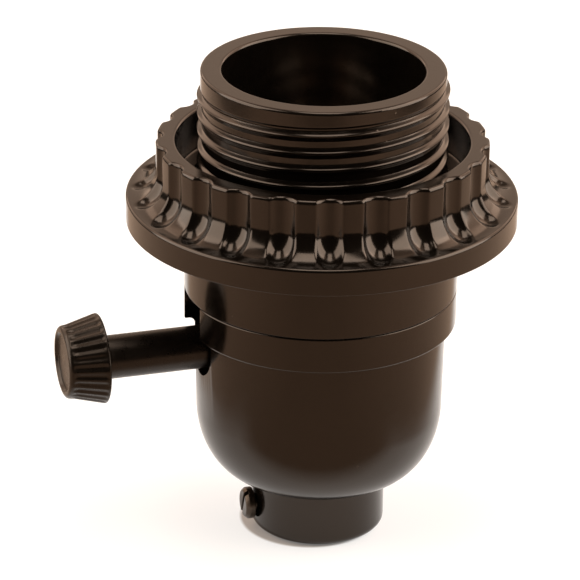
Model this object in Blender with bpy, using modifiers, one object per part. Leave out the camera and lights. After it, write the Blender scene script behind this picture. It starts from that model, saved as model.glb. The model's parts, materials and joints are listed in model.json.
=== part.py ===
"""Turn knob lamp socket: a moulded phenolic lamp holder with an outside thread and a shade ring.

The socket stands upright on the neck of its cap. The origin is the middle of the neck's end face,
+Z points out of the lamp well and the switch shaft runs along -X. All lengths are in metres.
"""

import math

import bmesh
import bpy
from mathutils import Vector

# Gaps between pieces that touch
CLEARANCE = 0.0003

# Cap: neck, domed body and the wide band under the seam
CAP_HEIGHT = 0.0402
CAP_WALL = 0.0029
NECK_RADIUS = 0.0104
NECK_LENGTH = 0.0094
NECK_FILLET = 0.0010
NECK_EDGE_ROUND = 0.0010
DOME_CORNER_HEIGHT = 0.0114
DOME_LOWER_RADIUS = 0.01908
DOME_UPPER_RADIUS = 0.0193
BAND_RADIUS = 0.0209
BAND_STRAIGHT_HEIGHT = 0.0048
BAND_CORNER_ROUND = 0.0006
BAND_ROOT_FILLET = 0.0009
BAND_EDGE_ROUND = 0.0003

# Slot in the cap's rim that lets the knob's stem through
SLOT_CLEARANCE = 0.00115

# Threaded bushing in the neck for the lamp pipe, and the screw that locks the pipe
PIPE_BORE_RADIUS = 0.00475
BUSHING_WALL = 0.0022
BUSHING_EDGE_ROUND = 0.0005
SET_SCREW_HEIGHT = 0.0039
SET_SCREW_HEAD_RADIUS = 0.0025
SET_SCREW_HEAD_THICKNESS = 0.0015
SET_SCREW_SHANK_RADIUS = 0.0014

# Posts inside the cap with brass inserts for the two long screws
INSERT_LENGTH = 0.0060
INSERT_WALL = 0.0006
POST_WALL = 0.0010
POST_TO_COVER = 0.0028
ASSEMBLY_SCREW_RADIUS = 0.0014
ASSEMBLY_SCREW_HEAD_RADIUS = 0.0024
ASSEMBLY_SCREW_HEAD_HEIGHT = 0.0018
ASSEMBLY_SCREW_TO_HOUSING = 0.0006

# Shell: skirt, outside thread for the shade ring, and smooth rim
SHELL_LENGTH = 0.0349
SKIRT_RADIUS = 0.0209
SKIRT_HEIGHT = 0.0106
SKIRT_WALL = 0.0035
SKIRT_EDGE_ROUND = 0.0003
WELL_RADIUS = 0.01525
RIM_RADIUS = 0.0185
RIM_HEIGHT = 0.0025
RIM_EDGE_ROUND = 0.0004
THREAD_ROOT_RADIUS = 0.01825
THREAD_DEPTH = 0.00075
THREAD_PITCH = 0.00265
THREAD_RIDGE_WIDTH = 0.0024
THREAD_TURNS = 7.8
THREAD_TOP_ANGLE = math.radians(72.5)
THREAD_TOP_BELOW_RIM_EDGE = -0.0003

# Shade ring: collar with flutes over a flat flange
RING_HEIGHT = 0.0129
FLANGE_THICKNESS = 0.0041
FLANGE_RADIUS = 0.02976
FLANGE_EDGE_ROUND = 0.0004
COLLAR_RADIUS = 0.0252
COLLAR_BORE_RADIUS = 0.0222
COLLAR_EDGE_ROUND = 0.0003
COLLAR_FILLET = 0.0041
RING_THREAD_HEIGHT = 0.0063
FLUTE_COUNT = 23
FLUTE_PHASE = math.radians(-104.8)
FLUTE_RADIUS = 0.0026
FLUTE_DEPTH = 0.00093
FLUTE_FLOOR_DEPTH = 0.00034
FLUTE_FLOOR_FILLET = 0.0038
FLUTE_SWEEP = math.radians(70)
FLUTE_SWEEP_STOPS = 2

# Contact block between shell and cap, and the switch housing under it
BLOCK_THICKNESS = 0.0062
HOUSING_WALL = 0.0014
HOUSING_END_WALL = 0.0030
COVER_FLOOR = 0.0022
LUG_LENGTH = 0.0062
LUG_HALF_WIDTH = 0.0047
LUG_HALF_HEIGHT = 0.0042
COVER_SCREW_RADIUS = 0.0009
COVER_SCREW_HEAD_RADIUS = 0.0016
COVER_SCREW_HEAD_HEIGHT = 0.0010
COVER_SCREW_GRIP = 0.0045

# Lamp contacts
SCREW_SHELL_RADIUS = 0.0138
SCREW_SHELL_HEIGHT = 0.0160
SCREW_SHELL_THICKNESS = 0.0004
SCREW_SHELL_LIP_THICKNESS = 0.0006
SHELL_FLOOR_HOLE_RADIUS = 0.0062
RIVET_RADIUS = 0.0009
RIVET_HEAD_RADIUS = 0.0015
RIVET_HEAD_HEIGHT = 0.0007
TONGUE_WIDTH = 0.0048
TONGUE_RISE = 0.0036
TONGUE_RIVET_X = 0.0034
LEAF_THICKNESS = 0.0004
TERMINAL_THICKNESS = 0.0006
TERMINAL_HALF_HEIGHT = 0.0030
TERMINAL_SCREW_RADIUS = 0.0015
TERMINAL_SCREW_HEAD_RADIUS = 0.0024
TERMINAL_SCREW_HEAD_HEIGHT = 0.0016
TERMINAL_SCREW_LENGTH = 0.0042

# Switch: shaft, rotor and snap detent
SHAFT_BELOW_SEAM = 0.0083
SHAFT_RADIUS = 0.0020
SHAFT_TAIL_RADIUS = 0.0015
SHAFT_TAIL_LENGTH = 0.0020
SHAFT_THREAD_RADIUS = 0.00155
SHAFT_THREAD_LENGTH = 0.0085
SHAFT_SQUARE_SIDE = 0.0030
DRUM_RADIUS = 0.0043
DRUM_LENGTH = 0.0064
CONTACT_RING_THICKNESS = 0.00035
CONTACT_RING_WIDTH = 0.0032
CONTACT_LOBE_HEIGHT = 0.00025
CONTACT_LOBE_HALF_WIDTH = 0.0009
CAM_SIDE = 0.0056
CAM_THICKNESS = 0.0018
CLIP_RADIUS = 0.0034
CLIP_THICKNESS = 0.0006
CHAMBER_HEADROOM = 0.0015

# Knob: fluted head on a long smooth stem, with a threaded brass insert
STEM_RADIUS = 0.00335
STEM_WALL = 0.0008
STEM_TO_HOUSING = 0.0007
KNOB_REACH = 0.04085
KNOB_HEAD_LENGTH = 0.00615
KNOB_INNER_RADIUS = 0.0069
KNOB_OUTER_RADIUS = 0.0055
KNOB_OUTER_ROUND = 0.0012
KNOB_INNER_ROUND = 0.0003
KNOB_RECESS_DEPTH = 0.0004
KNOB_BORE_DEPTH = 0.0158
KNOB_GROOVE_COUNT = 22
KNOB_GROOVE_RADIUS = 0.0005
KNOB_GROOVE_DEPTH = 0.00035
KNOB_INSERT_LENGTH = 0.0080

# Screw driver slots
DRIVER_SLOT_WIDTH = 0.0007
DRIVER_SLOT_DEPTH = 0.0007

# Smoothness of round shapes
LARGE_SEGMENTS = 36
CAP_SEGMENTS = 40
RING_SEGMENTS_PER_FLUTE = 3
SMALL_SEGMENTS = 10
SHARP_ANGLE = math.radians(35.0)

# Heights and places that follow from the sizes above
SHELL_BOTTOM = CAP_HEIGHT + CLEARANCE
SHELL_TOP = SHELL_BOTTOM + SHELL_LENGTH
SHOULDER = SHELL_BOTTOM + SKIRT_HEIGHT
RING_BOTTOM = SHOULDER + CLEARANCE
RING_TOP = RING_BOTTOM + RING_HEIGHT
FLANGE_TOP = RING_BOTTOM + FLANGE_THICKNESS
RIM_BOTTOM = SHELL_TOP - RIM_HEIGHT
THREAD_CREST_RADIUS = THREAD_ROOT_RADIUS + THREAD_DEPTH
BLOCK_BOTTOM = SHELL_BOTTOM
BLOCK_TOP = BLOCK_BOTTOM + BLOCK_THICKNESS
SHELL_FLOOR_BOTTOM = BLOCK_TOP + CLEARANCE
SHELL_FLOOR_TOP = SHELL_FLOOR_BOTTOM + SCREW_SHELL_THICKNESS
SKIRT_INNER_RADIUS = SKIRT_RADIUS - SKIRT_WALL
CAP_INNER_RADIUS = DOME_LOWER_RADIUS - CAP_WALL
DOME_CORNER_TOP = NECK_LENGTH + DOME_CORNER_HEIGHT
CAP_FLOOR = NECK_LENGTH + CAP_WALL
BUSHING_RADIUS = PIPE_BORE_RADIUS + BUSHING_WALL
SHAFT_HEIGHT = CAP_HEIGHT - SHAFT_BELOW_SEAM
SLOT_RADIUS = STEM_RADIUS + SLOT_CLEARANCE

CONTACT_RING_INNER = DRUM_RADIUS + CLEARANCE
CONTACT_RING_OUTER = CONTACT_RING_INNER + CONTACT_RING_THICKNESS
LOBE_RADIUS = CONTACT_RING_OUTER + CONTACT_LOBE_HEIGHT
LEAF_INNER = math.hypot(LOBE_RADIUS, CONTACT_LOBE_HALF_WIDTH) + CLEARANCE
LEAF_MIDDLE = LEAF_INNER + LEAF_THICKNESS / 2
CHAMBER_HALF_WIDTH = LEAF_INNER + LEAF_THICKNESS + CLEARANCE
HOUSING_HALF_WIDTH = CHAMBER_HALF_WIDTH + HOUSING_WALL
CHAMBER_CEILING = SHAFT_HEIGHT + LOBE_RADIUS + CHAMBER_HEADROOM
CAM_CORNER_RADIUS = CAM_SIDE / math.sqrt(2)
DETENT_TOP = SHAFT_HEIGHT - CAM_CORNER_RADIUS - CLEARANCE
CHAMBER_FLOOR = min(SHAFT_HEIGHT - LEAF_INNER, DETENT_TOP - LEAF_THICKNESS) - 2 * CLEARANCE
COVER_BOTTOM = CHAMBER_FLOOR - COVER_FLOOR
DRUM_FRONT = -DRUM_LENGTH / 2
DRUM_REAR = DRUM_LENGTH / 2
CLIP_REAR = DRUM_FRONT - 2 * CLEARANCE
CLIP_FRONT = CLIP_REAR - CLIP_THICKNESS
CHAMBER_FRONT = CLIP_FRONT - CLEARANCE
CAM_FRONT = DRUM_REAR + CLEARANCE
CAM_REAR = CAM_FRONT + CAM_THICKNESS
CHAMBER_REAR = CAM_REAR + 2 * CLEARANCE
HOUSING_FRONT = CHAMBER_FRONT - HOUSING_END_WALL
HOUSING_REAR = CHAMBER_REAR + HOUSING_END_WALL
LUG_REAR = HOUSING_REAR + LUG_LENGTH
STEM_END = -HOUSING_FRONT + STEM_TO_HOUSING
STEM_BORE_RADIUS = STEM_RADIUS - STEM_WALL
ASSEMBLY_SCREW_OFFSET = HOUSING_HALF_WIDTH + ASSEMBLY_SCREW_TO_HOUSING + ASSEMBLY_SCREW_RADIUS
INSERT_BORE_RADIUS = ASSEMBLY_SCREW_RADIUS + CLEARANCE
INSERT_RADIUS = INSERT_BORE_RADIUS + INSERT_WALL
POST_RADIUS = INSERT_RADIUS + CLEARANCE + POST_WALL
POST_TOP = COVER_BOTTOM - POST_TO_COVER
TERMINAL_SCREW_X = HOUSING_REAR + CLEARANCE + TERMINAL_SCREW_HEAD_RADIUS
TERMINAL_END = TERMINAL_SCREW_X + TERMINAL_SCREW_HEAD_RADIUS + CLEARANCE
TERMINAL_MIDDLE = LEAF_MIDDLE

PHENOLIC = ("phenolic", (0.030, 0.022, 0.016, 1.0), 0.0, 0.18)
BRASS = ("brass", (0.72, 0.50, 0.19, 1.0), 1.0, 0.30)
BRONZE = ("phosphor_bronze", (0.70, 0.42, 0.22, 1.0), 1.0, 0.32)
STEEL = ("plated_steel", (0.62, 0.61, 0.58, 1.0), 1.0, 0.35)
NICKEL = ("nickel", (0.76, 0.74, 0.70, 1.0), 1.0, 0.25)


def clear_scene():
    """Remove what the scene holds and make the collections for parts and for tools."""
    for item in list(bpy.data.objects):
        bpy.data.objects.remove(item, do_unlink=True)
    made = []
    for name in ("turn_knob_lamp_socket", "cutters"):
        collection = bpy.data.collections.new(name)
        bpy.context.scene.collection.children.link(collection)
        made.append(collection)
    return made


PARTS, CUTTERS = clear_scene()


def material(spec):
    """Return the Principled material that a colour entry describes."""
    name, colour, metallic, roughness = spec
    found = bpy.data.materials.get(name)
    if found:
        return found
    made = bpy.data.materials.new(name)
    made.use_nodes = True
    shader = made.node_tree.nodes["Principled BSDF"]
    shader.inputs["Base Color"].default_value = colour
    shader.inputs["Metallic"].default_value = metallic
    shader.inputs["Roughness"].default_value = roughness
    return made


def place(name, mesh, spec=None, location=(0, 0, 0), rotation=(0, 0, 0)):
    """Put a mesh into the scene: as a part when it has a material, otherwise as a cutter."""
    item = bpy.data.objects.new(name, mesh)
    item.location = location
    item.rotation_euler = rotation
    if spec:
        mesh.materials.append(material(spec))
        PARTS.objects.link(item)
    else:
        item.hide_render = True
        item.display_type = "WIRE"
        CUTTERS.objects.link(item)
    return item


def boolean(item, tool, operation="DIFFERENCE"):
    """Cut a part with another object, or join the other object to it."""
    modifier = item.modifiers.new(operation.lower(), "BOOLEAN")
    modifier.operation = operation
    modifier.object = tool
    modifier.solver = "EXACT"


def turned(name, profile, segments, spec=None, closed=True, location=(0, 0, 0), rotation=(0, 0, 0)):
    """Turn a profile of (radius, height) points, listed down its outer side, about its own Z."""
    mesh = bpy.data.meshes.new(name)
    points = [(radius, 0.0, height) for radius, height in profile]
    edges = [(index, index + 1) for index in range(len(points) - 1)]
    if closed:
        edges.append((len(points) - 1, 0))
    mesh.from_pydata(points, edges, [])
    item = place(name, mesh, spec, location, rotation)
    turn = item.modifiers.new("turn", "SCREW")
    turn.angle = 2 * math.pi
    turn.steps = segments
    turn.render_steps = segments
    turn.use_merge_vertices = True
    turn.merge_threshold = 0.000001
    turn.use_smooth_shade = True
    return item


def box(name, low, high, spec=None):
    """Make an upright box from its lowest and highest corners."""
    size = [top - bottom for bottom, top in zip(low, high)]
    middle = [(top + bottom) / 2 for bottom, top in zip(low, high)]
    builder = bmesh.new()
    bmesh.ops.create_cube(builder, size=1.0)
    bmesh.ops.scale(builder, vec=size, verts=builder.verts)
    mesh = bpy.data.meshes.new(name)
    builder.to_mesh(mesh)
    builder.free()
    return place(name, mesh, spec, middle)


def rod(name, radius, length, segments, location, rotation=(0, 0, 0), spec=None):
    """Make a plain cylinder about its own Z, centred on its location."""
    builder = bmesh.new()
    bmesh.ops.create_cone(builder, cap_ends=True, segments=segments, radius1=radius,
                          radius2=radius, depth=length)
    mesh = bpy.data.meshes.new(name)
    builder.to_mesh(mesh)
    builder.free()
    return place(name, mesh, spec, location, rotation)


def ribbon(name, path, across, width, thickness, spec):
    """Bend a flat strip along a path of points, as an open surface with a thickness."""
    half = Vector(across) * (width / 2)
    builder = bmesh.new()
    left = [builder.verts.new(Vector(point) - half) for point in path]
    right = [builder.verts.new(Vector(point) + half) for point in path]
    for index in range(len(path) - 1):
        builder.faces.new((left[index], left[index + 1], right[index + 1], right[index]))
    mesh = bpy.data.meshes.new(name)
    builder.to_mesh(mesh)
    builder.free()
    item = place(name, mesh, spec)
    shell = item.modifiers.new("thickness", "SOLIDIFY")
    shell.thickness = thickness
    shell.offset = 0.0
    shell.use_even_offset = True
    return item


def arc(centre, radius, start, end, steps, height=None):
    """List points on an arc of a circle, or of an ellipse when a height is given."""
    height = radius if height is None else height
    angles = [math.radians(start + (end - start) * step / steps) for step in range(steps + 1)]
    return [(centre[0] + radius * math.cos(angle), centre[1] + height * math.sin(angle))
            for angle in angles]


def along_x(distance):
    """Return the point on the shaft's axis at a distance along X."""
    return (distance, 0, SHAFT_HEIGHT)


TO_PLUS_X = (0, math.pi / 2, 0)
TO_MINUS_X = (0, -math.pi / 2, 0)
TO_PLUS_Y = (-math.pi / 2, 0, 0)
TO_MINUS_Y = (math.pi / 2, 0, 0)


def headed_screw(name, head_radius, head_height, radius, length, spec, location, rotation):
    """Make a slotted screw whose head stands on its origin and whose shank hangs below."""
    crown = head_height * 0.35
    profile = [(0, head_height), (head_radius * 0.7, head_height - crown * 0.3),
               (head_radius, head_height - crown), (head_radius, 0), (radius, 0),
               (radius, -length + radius / 2), (radius / 2, -length), (0, -length)]
    screw = turned(name, profile, SMALL_SEGMENTS, spec, False, location, rotation)
    reach = head_radius * 2
    slot = box(name + "_slot", (-DRIVER_SLOT_WIDTH / 2, -reach, head_height - DRIVER_SLOT_DEPTH),
               (DRIVER_SLOT_WIDTH / 2, reach, head_height + DRIVER_SLOT_DEPTH))
    slot.parent = screw
    boolean(screw, slot)
    return screw


def rivet(name, low, high, location, spec):
    """Turn a rivet with a head outside each end of its grip."""
    head = RIVET_HEAD_RADIUS
    profile = [(0, high + RIVET_HEAD_HEIGHT), (head * 0.7, high + RIVET_HEAD_HEIGHT), (head, high),
               (RIVET_RADIUS, high), (RIVET_RADIUS, low), (head, low),
               (head * 0.7, low - RIVET_HEAD_HEIGHT), (0, low - RIVET_HEAD_HEIGHT)]
    return turned(name, profile, SMALL_SEGMENTS, spec, False, location)


def cap_outline():
    """List the cap's outer side from the rim down to the end of the neck."""
    band_bottom = CAP_HEIGHT - BAND_STRAIGHT_HEIGHT
    root_radius = DOME_UPPER_RADIUS + BAND_ROOT_FILLET
    corner_radius = BAND_RADIUS - BAND_CORNER_ROUND
    step_bottom = band_bottom - BAND_CORNER_ROUND - BAND_ROOT_FILLET
    corner = DOME_LOWER_RADIUS - NECK_RADIUS - NECK_FILLET
    points = arc((BAND_RADIUS - BAND_EDGE_ROUND, CAP_HEIGHT - BAND_EDGE_ROUND),
                 BAND_EDGE_ROUND, 90, 0, 1)
    points += arc((corner_radius, band_bottom), BAND_CORNER_ROUND, 0, -90, 3)
    points += arc((root_radius, step_bottom), BAND_ROOT_FILLET, 90, 180, 2)
    points += arc((NECK_RADIUS + NECK_FILLET, DOME_CORNER_TOP), corner, 0, -90, 6, DOME_CORNER_HEIGHT)
    points += arc((NECK_RADIUS + NECK_FILLET, NECK_LENGTH - NECK_FILLET), NECK_FILLET, 90, 180, 1)[1:]
    points += arc((NECK_RADIUS - NECK_EDGE_ROUND, NECK_EDGE_ROUND), NECK_EDGE_ROUND, 0, -90, 2)
    return points


def build_cap():
    """Mould the cap: turned body, two posts inside, stem slot, screw hole and insert holes."""
    bore = BUSHING_RADIUS + CLEARANCE
    inner_corner = CAP_INNER_RADIUS - NECK_RADIUS
    inner = [(bore, 0), (bore, CAP_FLOOR)]
    inner += arc((NECK_RADIUS, DOME_CORNER_TOP), inner_corner, -90, 0, 3, DOME_CORNER_TOP - CAP_FLOOR)
    inner += [(CAP_INNER_RADIUS, CAP_HEIGHT)]
    cap = turned("cap", cap_outline() + inner, CAP_SEGMENTS, PHENOLIC)
    post_low = NECK_LENGTH + CAP_WALL / 2
    for side, sign in (("front", -1), ("rear", 1)):
        place_y = sign * ASSEMBLY_SCREW_OFFSET
        post = rod("post_" + side, POST_RADIUS, POST_TOP - post_low, SMALL_SEGMENTS,
                   (0, place_y, (POST_TOP + post_low) / 2))
        boolean(cap, post, "UNION")
    seat = CAP_FLOOR + CLEARANCE
    boolean(cap, rod("bushing_seat", bore, 2 * seat, 2 * SMALL_SEGMENTS, (0, 0, 0)))
    for side, sign in (("front", -1), ("rear", 1)):
        depth = INSERT_LENGTH + CLEARANCE
        hole = rod("insert_hole_" + side, INSERT_RADIUS + CLEARANCE, 2 * depth, SMALL_SEGMENTS,
                   (0, sign * ASSEMBLY_SCREW_OFFSET, POST_TOP))
        boolean(cap, hole)
    reach = BAND_RADIUS * 2
    round_end = rod("slot_round", SLOT_RADIUS, reach, 2 * SMALL_SEGMENTS,
                    along_x(-reach / 2), TO_PLUS_X)
    boolean(cap, round_end)
    open_end = box("slot_open", (-reach, -SLOT_RADIUS, SHAFT_HEIGHT),
                   (0, SLOT_RADIUS, CAP_HEIGHT + SLOT_RADIUS))
    boolean(cap, open_end)
    boolean(cap, set_screw_hole("neck_screw_hole"))
    return cap


def set_screw_hole(name):
    """Make the cutter for the radial hole of the set screw."""
    return rod(name, SET_SCREW_SHANK_RADIUS + CLEARANCE, NECK_RADIUS * 2, SMALL_SEGMENTS,
               (-NECK_RADIUS, 0, SET_SCREW_HEIGHT), TO_PLUS_X)


def build_pipe_bushing():
    """Turn the bushing that takes the lamp pipe, with the set screw's hole through it."""
    low = NECK_EDGE_ROUND / 2
    edge = BUSHING_EDGE_ROUND
    profile = [(BUSHING_RADIUS - edge, CAP_FLOOR), (BUSHING_RADIUS, CAP_FLOOR - edge),
               (BUSHING_RADIUS, low + edge), (BUSHING_RADIUS - edge, low), (PIPE_BORE_RADIUS + edge, low),
               (PIPE_BORE_RADIUS, low + edge), (PIPE_BORE_RADIUS, CAP_FLOOR - edge),
               (PIPE_BORE_RADIUS + edge, CAP_FLOOR)]
    bushing = turned("pipe_bushing", profile, 2 * SMALL_SEGMENTS, STEEL)
    boolean(bushing, set_screw_hole("bushing_screw_hole"))


def build_set_screw():
    """Turn the slotted screw that stands out of the neck on the knob's side."""
    seat = NECK_RADIUS + CLEARANCE
    length = seat - PIPE_BORE_RADIUS - CLEARANCE
    headed_screw("set_screw", SET_SCREW_HEAD_RADIUS, SET_SCREW_HEAD_THICKNESS, SET_SCREW_SHANK_RADIUS,
                 length, STEEL, (-seat, 0, SET_SCREW_HEIGHT), TO_MINUS_X)


def build_cap_inserts():
    """Turn the two threaded inserts that sit in the cap's posts."""
    for side, sign in (("front", -1), ("rear", 1)):
        profile = [(INSERT_RADIUS, 0), (INSERT_RADIUS, -INSERT_LENGTH),
                   (INSERT_BORE_RADIUS, -INSERT_LENGTH), (INSERT_BORE_RADIUS, 0)]
        turned("cap_insert_" + side, profile, SMALL_SEGMENTS, BRASS,
               location=(0, sign * ASSEMBLY_SCREW_OFFSET, POST_TOP))


def thread_ridge():
    """Loft the outside thread: one rounded ridge wound up the shell, faded out at both ends."""
    half = THREAD_RIDGE_WIDTH / 2
    embed = THREAD_DEPTH / 2
    section = [(-half, 0.0), (-half * 0.28, 0.94), (half * 0.28, 0.94), (half, 0.0)]
    steps = round(THREAD_TURNS * LARGE_SEGMENTS)
    fade_steps = LARGE_SEGMENTS // 6
    top = RIM_BOTTOM - THREAD_TOP_BELOW_RIM_EDGE
    builder = bmesh.new()
    rings = []
    for step in range(steps + 1):
        turns_down = (steps - step) / LARGE_SEGMENTS
        angle = THREAD_TOP_ANGLE - 2 * math.pi * turns_down
        height = top - THREAD_PITCH * turns_down
        fade = min(1.0, (min(step, steps - step) + 0.5) / fade_steps)
        ring = []
        for rise, share in section:
            radius = THREAD_ROOT_RADIUS - embed + (THREAD_DEPTH + embed) * share * fade
            point = (radius * math.cos(angle), radius * math.sin(angle), height + rise)
            ring.append(builder.verts.new(point))
        rings.append(ring)
    for lower, upper in zip(rings, rings[1:]):
        for index in range(len(section)):
            follow = (index + 1) % len(section)
            builder.faces.new((lower[index], upper[index], upper[follow], lower[follow]))
    builder.faces.new(rings[0])
    builder.faces.new(reversed(rings[-1]))
    bmesh.ops.recalc_face_normals(builder, faces=builder.faces)
    mesh = bpy.data.meshes.new("thread_ridge")
    builder.to_mesh(mesh)
    builder.free()
    return place("thread_ridge", mesh)


def build_shell():
    """Mould the shell: rim, outside thread, shoulder, skirt, and the stepped bore for the lamp."""
    ledge = BLOCK_TOP + CLEARANCE
    profile = arc((RIM_RADIUS - RIM_EDGE_ROUND, SHELL_TOP - RIM_EDGE_ROUND), RIM_EDGE_ROUND, 90, 0, 1)
    profile += [(RIM_RADIUS, RIM_BOTTOM), (THREAD_ROOT_RADIUS, RIM_BOTTOM - RIM_EDGE_ROUND),
                (THREAD_ROOT_RADIUS, SHOULDER)]
    profile += arc((SKIRT_RADIUS - SKIRT_EDGE_ROUND, SHOULDER - SKIRT_EDGE_ROUND),
                   SKIRT_EDGE_ROUND, 90, 0, 1)
    profile += arc((SKIRT_RADIUS - SKIRT_EDGE_ROUND, SHELL_BOTTOM + SKIRT_EDGE_ROUND),
                   SKIRT_EDGE_ROUND, 0, -90, 1)
    profile += [(SKIRT_INNER_RADIUS, SHELL_BOTTOM), (SKIRT_INNER_RADIUS, ledge), (WELL_RADIUS, ledge)]
    profile += arc((WELL_RADIUS + RIM_EDGE_ROUND, SHELL_TOP - RIM_EDGE_ROUND),
                   RIM_EDGE_ROUND, 180, 90, 1)
    shell = turned("shell", profile, LARGE_SEGMENTS, PHENOLIC)
    boolean(shell, thread_ridge(), "UNION")


def flute_cutter_shape():
    """Shape a ball-ended tool that comes down beside the collar, then sweeps out over the flange."""
    bend = FLUTE_FLOOR_FILLET - FLUTE_RADIUS
    bend_height = FLANGE_TOP - FLUTE_FLOOR_DEPTH + FLUTE_FLOOR_FILLET
    around = [2 * math.pi * step / SMALL_SEGMENTS for step in range(SMALL_SEGMENTS)]
    builder = bmesh.new()
    for turn in around:
        builder.verts.new((FLUTE_RADIUS * math.cos(turn), FLUTE_RADIUS * math.sin(turn),
                           RING_TOP + FLUTE_RADIUS))
    for stop in range(FLUTE_SWEEP_STOPS + 1):
        swing = FLUTE_SWEEP * stop / FLUTE_SWEEP_STOPS
        across = bend * (1 - math.cos(swing))
        height = bend_height - bend * math.sin(swing)
        builder.verts.new((across, 0, height - FLUTE_RADIUS))
        for radius, drop in arc((0, 0), FLUTE_RADIUS, 0, -90, 3)[:-1]:
            for turn in around:
                builder.verts.new((across + radius * math.cos(turn), radius * math.sin(turn),
                                   height + drop))
    hull = bmesh.ops.convex_hull(builder, input=builder.verts)
    inside = {item for item in hull["geom_interior"] + hull["geom_unused"]
              if isinstance(item, bmesh.types.BMVert)}
    bmesh.ops.delete(builder, geom=list(inside), context="VERTS")
    mesh = bpy.data.meshes.new("flute_cutter")
    builder.to_mesh(mesh)
    builder.free()
    return mesh


def build_shade_ring():
    """Mould the shade ring: collar swept out into a flange, flutes cut by ball-ended tools."""
    bore = THREAD_CREST_RADIUS + CLEARANCE
    counterbore = RING_BOTTOM + RING_THREAD_HEIGHT
    profile = arc((COLLAR_RADIUS - COLLAR_EDGE_ROUND, RING_TOP - COLLAR_EDGE_ROUND),
                  COLLAR_EDGE_ROUND, 90, 0, 1)
    profile += arc((COLLAR_RADIUS + COLLAR_FILLET, FLANGE_TOP + COLLAR_FILLET), COLLAR_FILLET,
                   180, 270, 4)
    profile += arc((FLANGE_RADIUS - FLANGE_EDGE_ROUND, FLANGE_TOP - FLANGE_EDGE_ROUND),
                   FLANGE_EDGE_ROUND, 90, 0, 1)
    profile += [(FLANGE_RADIUS, RING_BOTTOM + FLANGE_EDGE_ROUND),
                (FLANGE_RADIUS - FLANGE_EDGE_ROUND, RING_BOTTOM),
                (bore, RING_BOTTOM), (bore, counterbore), (COLLAR_BORE_RADIUS, counterbore),
                (COLLAR_BORE_RADIUS, RING_TOP - COLLAR_EDGE_ROUND),
                (COLLAR_BORE_RADIUS + COLLAR_EDGE_ROUND, RING_TOP)]
    ring = turned("shade_ring", profile, FLUTE_COUNT * RING_SEGMENTS_PER_FLUTE, PHENOLIC,
                  rotation=(0, 0, FLUTE_PHASE))
    tools = bpy.data.collections.new("flute_cutters")
    CUTTERS.children.link(tools)
    centre = COLLAR_RADIUS - FLUTE_DEPTH + FLUTE_RADIUS
    shape = flute_cutter_shape()
    for index in range(FLUTE_COUNT):
        angle = FLUTE_PHASE + 2 * math.pi * index / FLUTE_COUNT
        spot = (centre * math.cos(angle), centre * math.sin(angle), 0)
        tool = place("flute_cutter_%02d" % index, shape, None, spot, (0, 0, angle))
        CUTTERS.objects.unlink(tool)
        tools.objects.link(tool)
    cut = ring.modifiers.new("flutes", "BOOLEAN")
    cut.operand_type = "COLLECTION"
    cut.collection = tools
    cut.solver = "EXACT"


def build_contact_block():
    """Mould the disc clamped between shell and cap, with the upper half of the switch housing."""
    radius = SKIRT_INNER_RADIUS - CLEARANCE
    block = turned("contact_block", [(0, BLOCK_TOP), (radius, BLOCK_TOP), (radius, BLOCK_BOTTOM),
                                     (0, BLOCK_BOTTOM)], LARGE_SEGMENTS, PHENOLIC, False)
    inside_disc = BLOCK_BOTTOM + BLOCK_THICKNESS / 2
    split = SHAFT_HEIGHT + CLEARANCE / 2
    housing = box("housing_upper", (HOUSING_FRONT, -HOUSING_HALF_WIDTH, split),
                  (HOUSING_REAR, HOUSING_HALF_WIDTH, inside_disc))
    boolean(block, housing, "UNION")
    lug = box("terminal_lug", (HOUSING_REAR - HOUSING_END_WALL / 3, -LUG_HALF_WIDTH, split),
              (LUG_REAR, LUG_HALF_WIDTH, SHAFT_HEIGHT + LUG_HALF_HEIGHT))
    boolean(block, lug, "UNION")
    lug_low = box("terminal_lug_low", (HOUSING_REAR + CLEARANCE, -LUG_HALF_WIDTH,
                                       SHAFT_HEIGHT - LUG_HALF_HEIGHT),
                  (LUG_REAR, LUG_HALF_WIDTH, SHAFT_HEIGHT + LUG_HALF_HEIGHT))
    boolean(block, lug_low, "UNION")
    cut_housing(block, "upper", CHAMBER_CEILING)
    for side, sign in (("front", -1), ("rear", 1)):
        hole = rod("block_screw_hole_" + side, ASSEMBLY_SCREW_RADIUS + CLEARANCE,
                   4 * BLOCK_THICKNESS, SMALL_SEGMENTS, (0, sign * ASSEMBLY_SCREW_OFFSET, BLOCK_TOP))
        boolean(block, hole)
    for name, spot in (("centre", (TONGUE_RIVET_X, 0)),) + SHELL_RIVETS:
        hole = rod("block_rivet_hole_" + name, RIVET_RADIUS + CLEARANCE, 4 * BLOCK_THICKNESS,
                   SMALL_SEGMENTS, (spot[0], spot[1], BLOCK_TOP))
        boolean(block, hole)
    depth = TERMINAL_SCREW_LENGTH + CLEARANCE
    for side, sign in (("hot", 1), ("neutral", -1)):
        hole = rod("lug_hole_" + side, TERMINAL_SCREW_RADIUS + CLEARANCE, 2 * depth, SMALL_SEGMENTS,
                   (TERMINAL_SCREW_X, sign * TERMINAL_HEAD_SEAT, SHAFT_HEIGHT), TO_PLUS_Y)
        boolean(block, hole)


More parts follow.
